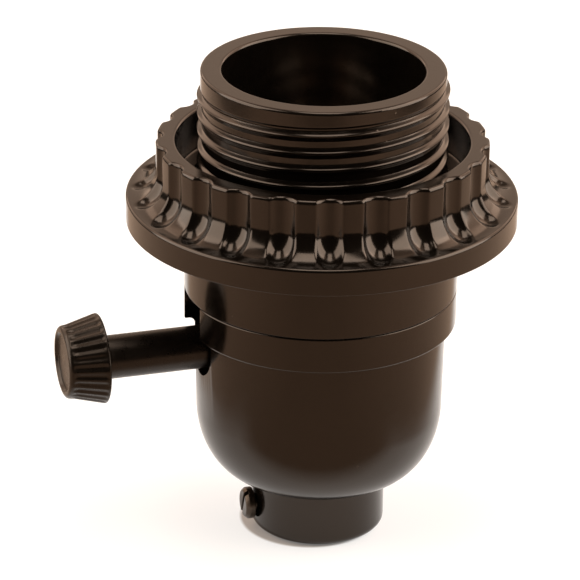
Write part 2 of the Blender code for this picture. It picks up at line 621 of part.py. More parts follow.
def cut_housing(item, half, chamber_end):
    """Cut one half of the housing: chamber, two bearings, the contact's slot and screw holes."""
    sign = 1 if half == "upper" else -1
    low, high = sorted((SHAFT_HEIGHT - sign * CLEARANCE, chamber_end))
    chamber = box("chamber_" + half, (CHAMBER_FRONT, -CHAMBER_HALF_WIDTH, low),
                  (CHAMBER_REAR, CHAMBER_HALF_WIDTH, high))
    boolean(item, chamber)
    bearing = rod("bearing_" + half, SHAFT_RADIUS + CLEARANCE, 2 * HOUSING_END_WALL, 2 * SMALL_SEGMENTS,
                  along_x(CHAMBER_FRONT - HOUSING_END_WALL / 2), TO_PLUS_X)
    boolean(item, bearing)
    tail_end = CAM_REAR + CLEARANCE + SHAFT_TAIL_LENGTH + CLEARANCE
    tail = rod("tail_bearing_" + half, SHAFT_TAIL_RADIUS + CLEARANCE, 2 * (tail_end - CHAMBER_REAR),
               SMALL_SEGMENTS, along_x(CHAMBER_REAR), TO_PLUS_X)
    boolean(item, tail)
    gap = LEAF_THICKNESS / 2 + CLEARANCE
    slot = box("contact_slot_" + half,
               (CHAMBER_REAR - HOUSING_END_WALL, TERMINAL_MIDDLE - gap,
                SHAFT_HEIGHT - CONTACT_RING_WIDTH / 2 - CLEARANCE),
               (TERMINAL_END, TERMINAL_MIDDLE + gap,
                SHAFT_HEIGHT + CONTACT_RING_WIDTH / 2 + CLEARANCE))
    boolean(item, slot)
    for index, spot in enumerate(COVER_SCREW_SPOTS):
        top = SHAFT_HEIGHT + COVER_SCREW_GRIP + CLEARANCE
        length = top - COVER_BOTTOM + COVER_FLOOR
        hole = rod("cover_hole_%s_%d" % (half, index), COVER_SCREW_RADIUS + CLEARANCE, length,
                   SMALL_SEGMENTS, (spot[0], spot[1], top - length / 2))
        boolean(item, hole)


def build_switch_cover():
    """Mould the lower half of the housing, with two ledges that carry the detent spring."""
    cover = box("switch_cover", (HOUSING_FRONT, -HOUSING_HALF_WIDTH, COVER_BOTTOM),
                (HOUSING_REAR, HOUSING_HALF_WIDTH, SHAFT_HEIGHT - CLEARANCE / 2), PHENOLIC)
    cut_housing(cover, "lower", CHAMBER_FLOOR)
    ledge_top = DETENT_TOP - LEAF_THICKNESS - CLEARANCE
    for side, sign in (("front", -1), ("rear", 1)):
        near = sign * (CHAMBER_HALF_WIDTH - HOUSING_WALL)
        far = sign * (CHAMBER_HALF_WIDTH + HOUSING_WALL / 2)
        ledge = box("detent_ledge_" + side,
                    (CAM_FRONT, min(near, far), COVER_BOTTOM + COVER_FLOOR / 2),
                    (CHAMBER_REAR + CLEARANCE / 2, max(near, far), ledge_top))
        boolean(cover, ledge, "UNION")


def build_fasteners():
    """Make the cover screws, the long assembly screws and the rivets of the screw shell."""
    for index, spot in enumerate(COVER_SCREW_SPOTS):
        seat = COVER_BOTTOM - CLEARANCE
        headed_screw("cover_screw_%d" % (index + 1), COVER_SCREW_HEAD_RADIUS, COVER_SCREW_HEAD_HEIGHT,
                     COVER_SCREW_RADIUS, SHAFT_HEIGHT + COVER_SCREW_GRIP - seat, STEEL,
                     (spot[0], spot[1], seat), (math.pi, 0, 0))
    seat = SHELL_FLOOR_TOP + CLEARANCE
    for side, sign in (("front", -1), ("rear", 1)):
        headed_screw("assembly_screw_" + side, ASSEMBLY_SCREW_HEAD_RADIUS, ASSEMBLY_SCREW_HEAD_HEIGHT,
                     ASSEMBLY_SCREW_RADIUS, seat - POST_TOP + INSERT_LENGTH - CLEARANCE, STEEL,
                     (0, sign * ASSEMBLY_SCREW_OFFSET, seat), (0, 0, 0))
    low = {"neutral": BLOCK_BOTTOM - 2 * CLEARANCE - TERMINAL_THICKNESS, "plain": BLOCK_BOTTOM - CLEARANCE}
    for name, spot in SHELL_RIVETS:
        rivet("shell_rivet_" + name, low[name], SHELL_FLOOR_TOP + CLEARANCE,
              (spot[0], spot[1], 0), NICKEL)


def build_screw_shell():
    """Turn the lamp's screw shell: a cup with a floor, a wall and a lip at its mouth."""
    inner = SCREW_SHELL_RADIUS - SCREW_SHELL_THICKNESS
    top = SHELL_FLOOR_BOTTOM + SCREW_SHELL_HEIGHT
    lip = WELL_RADIUS - CLEARANCE
    profile = [(lip, top), (lip, top - SCREW_SHELL_LIP_THICKNESS),
               (SCREW_SHELL_RADIUS, top - SCREW_SHELL_LIP_THICKNESS),
               (SCREW_SHELL_RADIUS, SHELL_FLOOR_BOTTOM), (SHELL_FLOOR_HOLE_RADIUS, SHELL_FLOOR_BOTTOM),
               (SHELL_FLOOR_HOLE_RADIUS, SHELL_FLOOR_TOP), (inner, SHELL_FLOOR_TOP), (inner, top)]
    shell = turned("screw_shell", profile, LARGE_SEGMENTS, NICKEL)
    for side, sign in (("front", -1), ("rear", 1)):
        hole = rod("floor_screw_hole_" + side, ASSEMBLY_SCREW_RADIUS + CLEARANCE, BLOCK_THICKNESS,
                   SMALL_SEGMENTS, (0, sign * ASSEMBLY_SCREW_OFFSET, SHELL_FLOOR_BOTTOM))
        boolean(shell, hole)
    for name, spot in SHELL_RIVETS:
        hole = rod("floor_rivet_hole_" + name, RIVET_RADIUS + CLEARANCE, BLOCK_THICKNESS,
                   SMALL_SEGMENTS, (spot[0], spot[1], SHELL_FLOOR_BOTTOM))
        boolean(shell, hole)


def build_centre_contact():
    """Bend the lamp's centre contact and rivet it through the block to the switch."""
    foot = BLOCK_TOP + CLEARANCE + LEAF_THICKNESS / 2
    heel = TONGUE_RIVET_X - RIVET_HEAD_RADIUS
    path = [(TONGUE_RIVET_X + RIVET_HEAD_RADIUS, 0, foot), (heel, 0, foot),
            (heel - TONGUE_RISE, 0, foot + TONGUE_RISE),
            (heel - 1.25 * TONGUE_RISE, 0, foot + 1.05 * TONGUE_RISE),
            (heel - 1.5 * TONGUE_RISE, 0, foot + 0.9 * TONGUE_RISE)]
    tongue = ribbon("centre_contact", path, (0, 1, 0), TONGUE_WIDTH, LEAF_THICKNESS, BRONZE)
    boolean(tongue, rod("tongue_hole", RIVET_RADIUS + CLEARANCE, BLOCK_THICKNESS, SMALL_SEGMENTS,
                        (TONGUE_RIVET_X, 0, foot)))
    rivet("centre_rivet", CHAMBER_CEILING - 2 * CLEARANCE - LEAF_THICKNESS,
          BLOCK_TOP + 2 * CLEARANCE + LEAF_THICKNESS, (TONGUE_RIVET_X, 0, 0), BRASS)


def build_switch_contacts():
    """Make the fixed contacts: the line plate with its terminal, the lamp leaf, the neutral strap."""
    half = CONTACT_RING_WIDTH / 2
    line = box("line_contact", (-half, LEAF_INNER, SHAFT_HEIGHT - half),
               (TERMINAL_END, LEAF_INNER + LEAF_THICKNESS, SHAFT_HEIGHT + half), BRASS)
    tab = box("line_tab", (HOUSING_REAR + CLEARANCE, LEAF_INNER, SHAFT_HEIGHT - TERMINAL_HALF_HEIGHT),
              (TERMINAL_END, LEAF_INNER + LEAF_THICKNESS, SHAFT_HEIGHT + TERMINAL_HALF_HEIGHT))
    boolean(line, tab, "UNION")
    boolean(line, terminal_hole("line_hole", 1))

    ceiling = CHAMBER_CEILING - CLEARANCE - LEAF_THICKNESS / 2
    path = [(0, -LEAF_MIDDLE, SHAFT_HEIGHT - half), (0, -LEAF_MIDDLE, ceiling),
            (0, RIVET_HEAD_RADIUS, ceiling)]
    leaf = ribbon("lamp_contact", path, (1, 0, 0), CONTACT_RING_WIDTH, LEAF_THICKNESS, BRONZE)
    pad = box("lamp_pad", (0, -RIVET_HEAD_RADIUS, ceiling - LEAF_THICKNESS / 2),
              (TONGUE_RIVET_X + RIVET_HEAD_RADIUS, RIVET_HEAD_RADIUS, ceiling + LEAF_THICKNESS / 2))
    boolean(leaf, pad, "UNION")
    boolean(leaf, rod("lamp_hole", RIVET_RADIUS + CLEARANCE, BLOCK_THICKNESS, SMALL_SEGMENTS,
                      (TONGUE_RIVET_X, 0, ceiling)))

    foot = BLOCK_BOTTOM - CLEARANCE - TERMINAL_THICKNESS / 2
    rivet_x, rivet_y = SHELL_RIVETS[0][1]
    path = [(TERMINAL_SCREW_X, -TERMINAL_MIDDLE, SHAFT_HEIGHT - TERMINAL_HALF_HEIGHT),
            (TERMINAL_SCREW_X, -TERMINAL_MIDDLE, foot),
            (TERMINAL_SCREW_X, rivet_y + RIVET_HEAD_RADIUS, foot)]
    width = 2 * (TERMINAL_SCREW_HEAD_RADIUS + CLEARANCE) - CLEARANCE
    strap = ribbon("neutral_terminal", path, (1, 0, 0), width, TERMINAL_THICKNESS, NICKEL)
    boolean(strap, terminal_hole("strap_hole", -1))
    boolean(strap, rod("strap_rivet_hole", RIVET_RADIUS + CLEARANCE, BLOCK_THICKNESS, SMALL_SEGMENTS,
                       (rivet_x, rivet_y, foot)))


def terminal_hole(name, sign):
    """Make the cutter for a terminal screw's hole."""
    return rod(name, TERMINAL_SCREW_RADIUS + CLEARANCE, LEAF_INNER, SMALL_SEGMENTS,
               (TERMINAL_SCREW_X, sign * TERMINAL_MIDDLE, SHAFT_HEIGHT), TO_PLUS_Y)


def build_terminal_screws():
    """Make the two binding screws, brass for the line and nickel for the neutral."""
    for side, sign, spec, turn in (("hot", 1, BRASS, TO_PLUS_Y), ("neutral", -1, NICKEL, TO_MINUS_Y)):
        headed_screw("terminal_screw_" + side, TERMINAL_SCREW_HEAD_RADIUS, TERMINAL_SCREW_HEAD_HEIGHT,
                     TERMINAL_SCREW_RADIUS, TERMINAL_SCREW_LENGTH, spec,
                     (TERMINAL_SCREW_X, sign * TERMINAL_HEAD_SEAT, SHAFT_HEIGHT), turn)


def build_detent_spring():
    """Make the flat spring that the square cam snaps against."""
    height = DETENT_TOP - LEAF_THICKNESS / 2
    reach = CHAMBER_HALF_WIDTH - CLEARANCE
    ribbon("detent_spring", [((CAM_FRONT + CAM_REAR) / 2, -reach, height),
                             ((CAM_FRONT + CAM_REAR) / 2, reach, height)],
           (1, 0, 0), CAM_THICKNESS, LEAF_THICKNESS, STEEL)


def square_hole(name, low, high):
    """Make the cutter for the square hole of a piece that the shaft drives."""
    half = SHAFT_SQUARE_SIDE / 2 + CLEARANCE
    return box(name, (low - half, -half, SHAFT_HEIGHT - half), (high + half, half, SHAFT_HEIGHT + half))


def build_rotor(axis):
    """Make the turning pieces inside the housing and hang them on the joint's empty."""
    groove = (CLIP_FRONT - CLEARANCE, CLIP_REAR + CLEARANCE)
    tail = CAM_REAR + CLEARANCE
    thread_end = -STEM_END - SHAFT_THREAD_LENGTH
    core = SHAFT_SQUARE_SIDE / 2 * 0.95
    profile = [(0, tail + SHAFT_TAIL_LENGTH), (SHAFT_TAIL_RADIUS, tail + SHAFT_TAIL_LENGTH),
               (SHAFT_TAIL_RADIUS, tail), (core, tail), (core, groove[0]), (SHAFT_RADIUS, groove[0]),
               (SHAFT_RADIUS, -STEM_END), (SHAFT_THREAD_RADIUS, -STEM_END),
               (SHAFT_THREAD_RADIUS, thread_end), (0, thread_end)]
    shaft = turned("switch_shaft", profile, SMALL_SEGMENTS, STEEL, False, along_x(0), TO_PLUS_X)
    half = SHAFT_SQUARE_SIDE / 2
    square = box("shaft_square", (groove[1], -half, SHAFT_HEIGHT - half),
                 (tail, half, SHAFT_HEIGHT + half))
    boolean(shaft, square, "UNION")

    drum = turned("rotor_drum", [(0, DRUM_REAR), (DRUM_RADIUS, DRUM_REAR), (DRUM_RADIUS, DRUM_FRONT),
                                 (0, DRUM_FRONT)], 2 * SMALL_SEGMENTS, PHENOLIC, False, along_x(0),
                  TO_PLUS_X)
    boolean(drum, square_hole("drum_hole", DRUM_FRONT, DRUM_REAR))

    half_width = CONTACT_RING_WIDTH / 2
    ring = turned("rotor_contact", [(CONTACT_RING_OUTER, half_width), (CONTACT_RING_OUTER, -half_width),
                                    (CONTACT_RING_INNER, -half_width),
                                    (CONTACT_RING_INNER, half_width)],
                  2 * SMALL_SEGMENTS, BRASS, True, along_x(0), TO_PLUS_X)
    for side, sign in (("front", -1), ("rear", 1)):
        near = sign * (CONTACT_RING_INNER + CONTACT_RING_THICKNESS / 3)
        far = sign * LOBE_RADIUS
        lobe = box("lobe_" + side, (-half_width, min(near, far), SHAFT_HEIGHT - CONTACT_LOBE_HALF_WIDTH),
                   (half_width, max(near, far), SHAFT_HEIGHT + CONTACT_LOBE_HALF_WIDTH))
        boolean(ring, lobe, "UNION")

    side = CAM_SIDE / 2
    cam = box("detent_cam", (CAM_FRONT, -side, SHAFT_HEIGHT - side),
              (CAM_REAR, side, SHAFT_HEIGHT + side), STEEL)
    boolean(cam, square_hole("cam_hole", CAM_FRONT, CAM_REAR))

    inner = core + CLEARANCE
    clip = turned("shaft_clip", [(CLIP_RADIUS, CLIP_REAR), (CLIP_RADIUS, CLIP_FRONT),
                                 (inner, CLIP_FRONT), (inner, CLIP_REAR)],
                  SMALL_SEGMENTS, STEEL, True, along_x(0), TO_PLUS_X)
    boolean(clip, box("clip_gap", (CLIP_FRONT - CLEARANCE, -inner * 0.8, SHAFT_HEIGHT),
                      (CLIP_REAR + CLEARANCE, inner * 0.8, SHAFT_HEIGHT + 2 * CLIP_RADIUS)))
    for item in (shaft, drum, ring, cam, clip):
        hang(item, axis)


def build_knob(axis):
    """Mould the knob: fluted head with a shallow disc in its end, smooth stem, blind bore."""
    back = KNOB_REACH - KNOB_HEAD_LENGTH
    disc_radius = KNOB_OUTER_RADIUS - KNOB_OUTER_ROUND
    profile = [(0, KNOB_REACH - KNOB_RECESS_DEPTH), (disc_radius, KNOB_REACH - KNOB_RECESS_DEPTH)]
    profile += arc((disc_radius, KNOB_REACH - KNOB_OUTER_ROUND), KNOB_OUTER_ROUND, 90, 15, 2)
    profile += [(KNOB_INNER_RADIUS, back + KNOB_INNER_ROUND),
                (KNOB_INNER_RADIUS - KNOB_INNER_ROUND, back), (STEM_RADIUS, back),
                (STEM_RADIUS, STEM_END), (STEM_BORE_RADIUS, STEM_END),
                (STEM_BORE_RADIUS, STEM_END + KNOB_BORE_DEPTH), (0, STEM_END + KNOB_BORE_DEPTH)]
    knob = turned("knob", profile, KNOB_GROOVE_COUNT, PHENOLIC, False, along_x(0), TO_MINUS_X)
    tools = bpy.data.collections.new("knob_groove_cutters")
    CUTTERS.children.link(tools)
    run = KNOB_HEAD_LENGTH - KNOB_OUTER_ROUND
    slope = math.atan2(KNOB_INNER_RADIUS - KNOB_OUTER_RADIUS, run)
    length = 2 * KNOB_HEAD_LENGTH
    middle_radius = (KNOB_INNER_RADIUS + KNOB_OUTER_RADIUS) / 2 + KNOB_GROOVE_RADIUS - KNOB_GROOVE_DEPTH
    middle = back + run / 2
    for index in range(KNOB_GROOVE_COUNT):
        angle = 2 * math.pi * (index + 0.5) / KNOB_GROOVE_COUNT
        spot = (-middle, middle_radius * math.sin(angle), SHAFT_HEIGHT + middle_radius * math.cos(angle))
        tool = rod("knob_groove_%02d" % index, KNOB_GROOVE_RADIUS, length, 6, spot)
        inward = Vector((0, -math.sin(angle), -math.cos(angle)))
        direction = Vector((-1, 0, 0)) * math.cos(slope) + inward * math.sin(slope)
        tool.rotation_euler = direction.to_track_quat("Z", "Y").to_euler()
        CUTTERS.objects.unlink(tool)
        tools.objects.link(tool)
    cut = knob.modifiers.new("grooves", "BOOLEAN")
    cut.operand_type = "COLLECTION"
    cut.collection = tools
    cut.solver = "EXACT"

    bore = SHAFT_THREAD_RADIUS + CLEARANCE
    outer = STEM_BORE_RADIUS - CLEARANCE
    start = STEM_END + 2 * CLEARANCE
    insert = turned("knob_insert", [(outer, start + KNOB_INSERT_LENGTH), (outer, start), (bore, start),
                                    (bore, start + KNOB_INSERT_LENGTH)],
                    SMALL_SEGMENTS, BRASS, True, along_x(0), TO_MINUS_X)
    hang(knob, axis)
    hang(insert, axis)


def hang(item, axis):
    """Parent a piece to an empty and leave it where it is."""
    item.parent = axis
    item.location = Vector(item.location) - Vector(axis.location)


def empty(name, location):
    """Place an empty that marks a joint's axis."""
    item = bpy.data.objects.new(name, None)
    item.location = location
    PARTS.objects.link(item)
    return item


SHELL_RIVET_REACH = SCREW_SHELL_RADIUS - SCREW_SHELL_THICKNESS - RIVET_HEAD_RADIUS - CLEARANCE
SHELL_RIVET_X = HOUSING_REAR + RIVET_HEAD_RADIUS + 2 * CLEARANCE
SHELL_RIVET_Y = math.sqrt(SHELL_RIVET_REACH ** 2 - SHELL_RIVET_X ** 2)
SHELL_RIVETS = (
    ("neutral", (SHELL_RIVET_X, -SHELL_RIVET_Y)),
    ("plain", (-SHELL_RIVET_X, SHELL_RIVET_Y)),
)
COVER_SCREW_SPOTS = (
    ((HOUSING_FRONT + CHAMBER_FRONT) / 2, CHAMBER_HALF_WIDTH - COVER_SCREW_RADIUS),
    ((HOUSING_REAR + CHAMBER_REAR) / 2, -CHAMBER_HALF_WIDTH + 2 * COVER_SCREW_RADIUS),
)
TERMINAL_HEAD_SEAT = LEAF_INNER + TERMINAL_THICKNESS + CLEARANCE

build_cap()
build_pipe_bushing()
build_set_screw()
build_cap_inserts()
build_shell()
build_shade_ring()
build_contact_block()
build_switch_cover()
build_fasteners()
build_screw_shell()
build_centre_contact()
build_switch_contacts()
build_terminal_screws()
build_detent_spring()
rotor_axis = empty("rotor_axis", along_x(0))
build_rotor(rotor_axis)
build_knob(rotor_axis)
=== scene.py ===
import json
import math

import bmesh
import bpy
import numpy as np
from mathutils import Matrix, Vector


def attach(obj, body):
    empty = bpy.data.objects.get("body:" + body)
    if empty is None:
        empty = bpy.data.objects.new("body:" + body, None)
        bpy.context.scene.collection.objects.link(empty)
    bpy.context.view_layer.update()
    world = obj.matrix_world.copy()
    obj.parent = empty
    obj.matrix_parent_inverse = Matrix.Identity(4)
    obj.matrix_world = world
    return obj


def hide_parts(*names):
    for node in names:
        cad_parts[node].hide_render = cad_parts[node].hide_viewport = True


mm = 0.001
weldReach = 0.000002  # points closer than this are one, in metres
tiny = 0.0000001  # lengths under this count as nothing, in metres
rimReach = 0.06  # how near in height an open rim has to lie to be bridged, in millimetres
smoothBelow = 38  # edges flatter than this are shaded smooth, in degrees
rimGap = 0.02  # keeps two open rims apart until they are bridged, in millimetres

print("loading the frame")
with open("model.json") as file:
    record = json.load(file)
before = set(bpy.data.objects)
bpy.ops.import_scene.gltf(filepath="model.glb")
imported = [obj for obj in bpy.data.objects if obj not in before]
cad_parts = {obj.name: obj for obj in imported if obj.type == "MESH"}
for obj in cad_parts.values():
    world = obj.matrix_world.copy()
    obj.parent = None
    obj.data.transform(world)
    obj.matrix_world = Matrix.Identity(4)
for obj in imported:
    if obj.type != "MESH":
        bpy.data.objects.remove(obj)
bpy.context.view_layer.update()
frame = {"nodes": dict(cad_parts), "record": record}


def only(*things):
    bpy.ops.object.select_all(action="DESELECT")
    for thing in things:
        thing.select_set(True)
    bpy.context.view_layer.objects.active = things[0]


def edit(thing, everything=True):
    only(thing)
    bpy.ops.object.mode_set(mode="EDIT")
    bpy.ops.mesh.select_mode(type="VERT")
    bpy.ops.mesh.select_all(action="SELECT" if everything else "DESELECT")


def done():
    bpy.ops.object.mode_set(mode="OBJECT")


def settle(thing):
    # merges what meets and points every face outwards
    edit(thing)
    bpy.ops.mesh.remove_doubles(threshold=weldReach)
    bpy.ops.mesh.normals_make_consistent(inside=False)
    done()


def applyPlace(thing):
    only(thing)
    bpy.ops.object.transform_apply(location=True, rotation=True, scale=True)


def rounded(corners, steps=6, hold=0.07, room=0.4):
    # each corner is (radius, height, rounding), all in millimetres
    # where there is room, a point is held just off each end of a rounding,
    # so that the flats shade flat
    points = []
    for index, (radius, height, rounding) in enumerate(corners):
        here = Vector((radius, height))
        if rounding <= 0:
            points.append((radius, height))
            continue
        back = Vector(corners[index - 1][:2]) - here
        ahead = Vector(corners[(index + 1) % len(corners)][:2]) - here
        roomBack, roomAhead = back.length, ahead.length
        back.normalize()
        ahead.normalize()
        half = back.angle(ahead) / 2
        taken = rounding / math.tan(half)
        if roomBack - taken - corners[index - 1][2] > room:
            points.append(tuple(here + back * (taken + hold)))
        centre = here + (back + ahead).normalized() * rounding / math.sin(half)
        first = here + back * rounding / math.tan(half) - centre
        last = here + ahead * rounding / math.tan(half) - centre
        start = math.atan2(first.y, first.x)
        turn = (math.atan2(last.y, last.x) - start + math.pi) % (2 * math.pi) - math.pi
        for step in range(steps + 1):
            angle = start + turn * step / steps
            points.append((centre.x + rounding * math.cos(angle),
                           centre.y + rounding * math.sin(angle)))
        if roomAhead - taken - corners[(index + 1) % len(corners)][2] > room:
            points.append(tuple(here + ahead * (taken + hold)))
    return points


def drawOutline(name, points, closed):
    # one vertex is pulled along the outline, which lies in the XZ plane, in millimetres
    bpy.ops.object.select_all(action="DESELECT")
    bpy.ops.mesh.primitive_plane_add(size=mm)
    piece = bpy.context.object
    piece.name = piece.data.name = name
    edit(piece)
    bpy.ops.mesh.merge(type="CENTER")
    bpy.ops.transform.translate(value=(points[0][0] * mm, 0, points[0][1] * mm))
    for near, far in zip(points, points[1:]):
        step = ((far[0] - near[0]) * mm, 0, (far[1] - near[1]) * mm)
        bpy.ops.mesh.extrude_vertices_move(TRANSFORM_OT_translate={"value": step})
    if closed:
        done()
        ends = [0, len(points) - 1]
        for vertex in piece.data.vertices:
            vertex.select = vertex.index in ends
        bpy.ops.object.mode_set(mode="EDIT")
        bpy.ops.mesh.edge_face_add()
    return piece


def lathe(name, points, steps, closed=True):
    piece = drawOutline(name, points, closed)
    bpy.ops.mesh.select_all(action="SELECT")
    bpy.ops.mesh.spin(steps=steps, angle=2 * math.pi, center=(0, 0, 0), axis=(0, 0, 1))
    done()
    settle(piece)
    return piece


def threadWall(name, thread, low, high, samples):
    # one pitch of the thread's section is wound up the axis, then cut flat at both ends
    pitch = thread["pitch"]
    crestAtX = thread["crest"] - pitch * thread["crestAngle"] / 360
    start = crestAtX - pitch * (math.ceil((crestAtX - low) / pitch) + 2)
    turns = math.ceil((high - start) / pitch) + 1
    points = []
    for step in range(samples + 1):
        share = step / samples
        points.append((thread["section"](share), start + pitch * share))
    piece = drawOutline(name, points, False)
    done()
    wind = piece.modifiers.new("wind", "SCREW")
    wind.angle = 2 * math.pi
    wind.steps = wind.render_steps = thread["steps"]
    wind.screw_offset = pitch * mm
    wind.iterations = turns
    wind.use_merge_vertices = False
    only(piece)
    bpy.ops.object.modifier_apply(modifier="wind")
    edit(piece)
    bpy.ops.mesh.remove_doubles(threshold=weldReach)
    for height, outer in ((low, False), (high, True)):
        bpy.ops.mesh.select_all(action="SELECT")
        bpy.ops.mesh.bisect(plane_co=(0, 0, height * mm), plane_no=(0, 0, 1),
                            clear_inner=not outer, clear_outer=outer, threshold=tiny)
    done()
    return piece


def reshape(piece, rule):
    # rule takes arrays of radius, angle and height and returns a new radius and height,
    # with the lengths in millimetres
    count = len(piece.data.vertices)
    flat = np.empty(count * 3)
    piece.data.vertices.foreach_get("co", flat)
    places = flat.reshape(-1, 3)
    radius = np.hypot(places[:, 0], places[:, 1]) / mm
    angle = np.arctan2(places[:, 1], places[:, 0])
    newRadius, newHeight = rule(radius, angle, places[:, 2] / mm)
    places[:, 0] = newRadius * np.cos(angle) * mm
    places[:, 1] = newRadius * np.sin(angle) * mm
    places[:, 2] = newHeight * mm
    piece.data.vertices.foreach_set("co", places.ravel())
    piece.data.update()


def selectEdges(piece, wanted):
    # stays in edit mode; the test gets an edge and its middle in millimetres
    edit(piece, False)
    bpy.ops.mesh.select_mode(type="EDGE")
    mesh = bmesh.from_edit_mesh(piece.data)
    for edge in mesh.edges:
        middle = (edge.verts[0].co + edge.verts[1].co) / (2 * mm)
        edge.select_set(wanted(edge, middle))
    mesh.select_flush_mode()
    bmesh.update_edit_mesh(piece.data)


def bridgeRims(piece, height, inner=0, outer=math.inf):
    # bridges the open rims that lie at one height, between two radii
    def wanted(edge, middle):
        level = all(abs(vertex.co.z / mm - height) < rimReach for vertex in edge.verts)
        return edge.is_boundary and level and inner < math.hypot(middle.x, middle.y) < outer

    selectEdges(piece, wanted)
    bpy.ops.mesh.bridge_edge_loops()
    done()


def joined(name, *walls):
    only(*walls)
    bpy.ops.object.join()
    piece = bpy.context.object
    piece.name = piece.data.name = name
    return piece


def weld(name, *walls, heights=()):
    # joins open walls into one piece and bridges their rims at each of the heights
    piece = joined(name, *walls)
    for height in heights:
        bridgeRims(piece, height)
    settle(piece)
    return piece


def combine(piece, tool, operation="DIFFERENCE"):
    # cuts the tool out of the piece, or adds it, and removes the tool
    only(piece)
    change = piece.modifiers.new("combine", "BOOLEAN")
    change.operation = operation
    change.solver = "EXACT"
    change.object = tool
    bpy.ops.object.modifier_apply(modifier="combine")
    bpy.data.objects.remove(tool, do_unlink=True)


def softenEdges(piece, width, angle, segments, where):
    # bevels the sharp edges whose middle passes a test
    def wanted(edge, middle):
        sharp = edge.is_manifold and edge.calc_face_angle(0) > math.radians(angle)
        return sharp and where(middle)

    selectEdges(piece, wanted)
    bpy.ops.mesh.bevel(offset=width * mm, segments=segments, profile=0.5, clamp_overlap=True)
    done()


def finishPiece(piece, material, body, slotName, *nodes):
    only(piece)
    bpy.ops.object.shade_smooth_by_angle(angle=math.radians(smoothBelow))
    piece.data.materials.clear()
    piece.data.materials.append(material)
    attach(piece, body)
    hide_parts(*nodes)
    print("  " + piece.name, len(piece.data.polygons), "faces")


def cylinderTool(radius, depth, place, turn=(0, 0, 0), vertices=96):
    bpy.ops.object.select_all(action="DESELECT")
    bpy.ops.mesh.primitive_cylinder_add(vertices=vertices, radius=radius * mm, depth=depth * mm,
                                        location=[value * mm for value in place], rotation=turn)
    tool = bpy.context.object
    applyPlace(tool)
    return tool


def blockTool(low, high):
    size = [top - bottom for bottom, top in zip(low, high)]
    middle = [(top + bottom) / 2 * mm for bottom, top in zip(low, high)]
    bpy.ops.object.select_all(action="DESELECT")
    bpy.ops.mesh.primitive_cube_add(size=1, location=middle)
    tool = bpy.context.object
    tool.scale = [value * mm for value in size]
    applyPlace(tool)
    return tool


def newMaterial(name):
    material = bpy.data.materials.new(name)
    material.use_nodes = True
    nodes = material.node_tree.nodes
    return material, nodes, material.node_tree.links, nodes["Principled BSDF"]


def addNoise(nodes, links, place, scale, detail, rough):
    # place is the socket that gives the point, in metres
    noise = nodes.new("ShaderNodeTexNoise")
    noise.inputs["Scale"].default_value = scale
    noise.inputs["Detail"].default_value = detail
    noise.inputs["Roughness"].default_value = rough
    links.new(place, noise.inputs["Vector"])
    return noise.outputs["Fac"]


def addRange(nodes, links, source, fromLow, fromHigh, toLow, toHigh):
    ranged = nodes.new("ShaderNodeMapRange")
    for socket, value in (("From Min", fromLow), ("From Max", fromHigh),
                          ("To Min", toLow), ("To Max", toHigh)):
        ranged.inputs[socket].default_value = value
    links.new(source, ranged.inputs["Value"])
    return ranged.outputs["Result"]


def addMath(nodes, links, operation, *values):
    # each value is a socket to link or a plain number
    step = nodes.new("ShaderNodeMath")
    step.operation = operation
    for target, value in zip(step.inputs, values):
        if hasattr(value, "is_linked"):
            links.new(value, target)
        else:
            target.default_value = value
    return step.outputs[0]


def addBump(nodes, links, height, strength, distance, normal=None):
    bump = nodes.new("ShaderNodeBump")
    bump.inputs["Strength"].default_value = strength
    bump.inputs["Distance"].default_value = distance
    links.new(height, bump.inputs["Height"])
    if normal is not None:
        links.new(normal, bump.inputs["Normal"])
    return bump.outputs["Normal"]


def addMix(nodes, links, factor, first, second):
    mix = nodes.new("ShaderNodeMix")
    mix.data_type = "RGBA"
    links.new(factor, mix.inputs["Factor"])
    for socket, value in (("A", first), ("B", second)):
        target = [item for item in mix.inputs if item.name == socket and item.type == "RGBA"][0]
        if hasattr(value, "is_linked"):
            links.new(value, target)
        else:
            target.default_value = value
    return [item for item in mix.outputs if item.type == "RGBA"][0]


# a noise is its scale per metre, its detail and its roughness;
# a range such as "cloudRange" is the part of the noise that is used
phenolic = {
    "dark": (0.0016, 0.0011, 0.0008, 1),
    "light": (0.0030, 0.0021, 0.0014, 1),
    "cloud": (160, 5, 0.6), "cloudRange": (0.35, 0.7),
    "dust": (0.10, 0.08, 0.065, 1),
    "dotScale": 420, "dotRange": (0.05, 0.09), "rare": (95, 2, 0.5), "rareRange": (0.62, 0.66),
    "tint": (1.0, 0.81, 0.68, 1),
    "roughLow": 0.13, "roughHigh": 0.20, "grain": (620, 4, 0.6), "grainRange": (0.3, 0.75),
    "ripple": (230, 2, 0.5), "bump": 0.10, "rippleDepth": 0.00012, "grainDepth": 0.00003,
    "ior": 1.5,
}
worn = dict(phenolic, roughLow=0.25, roughHigh=0.34, ior=1.44)


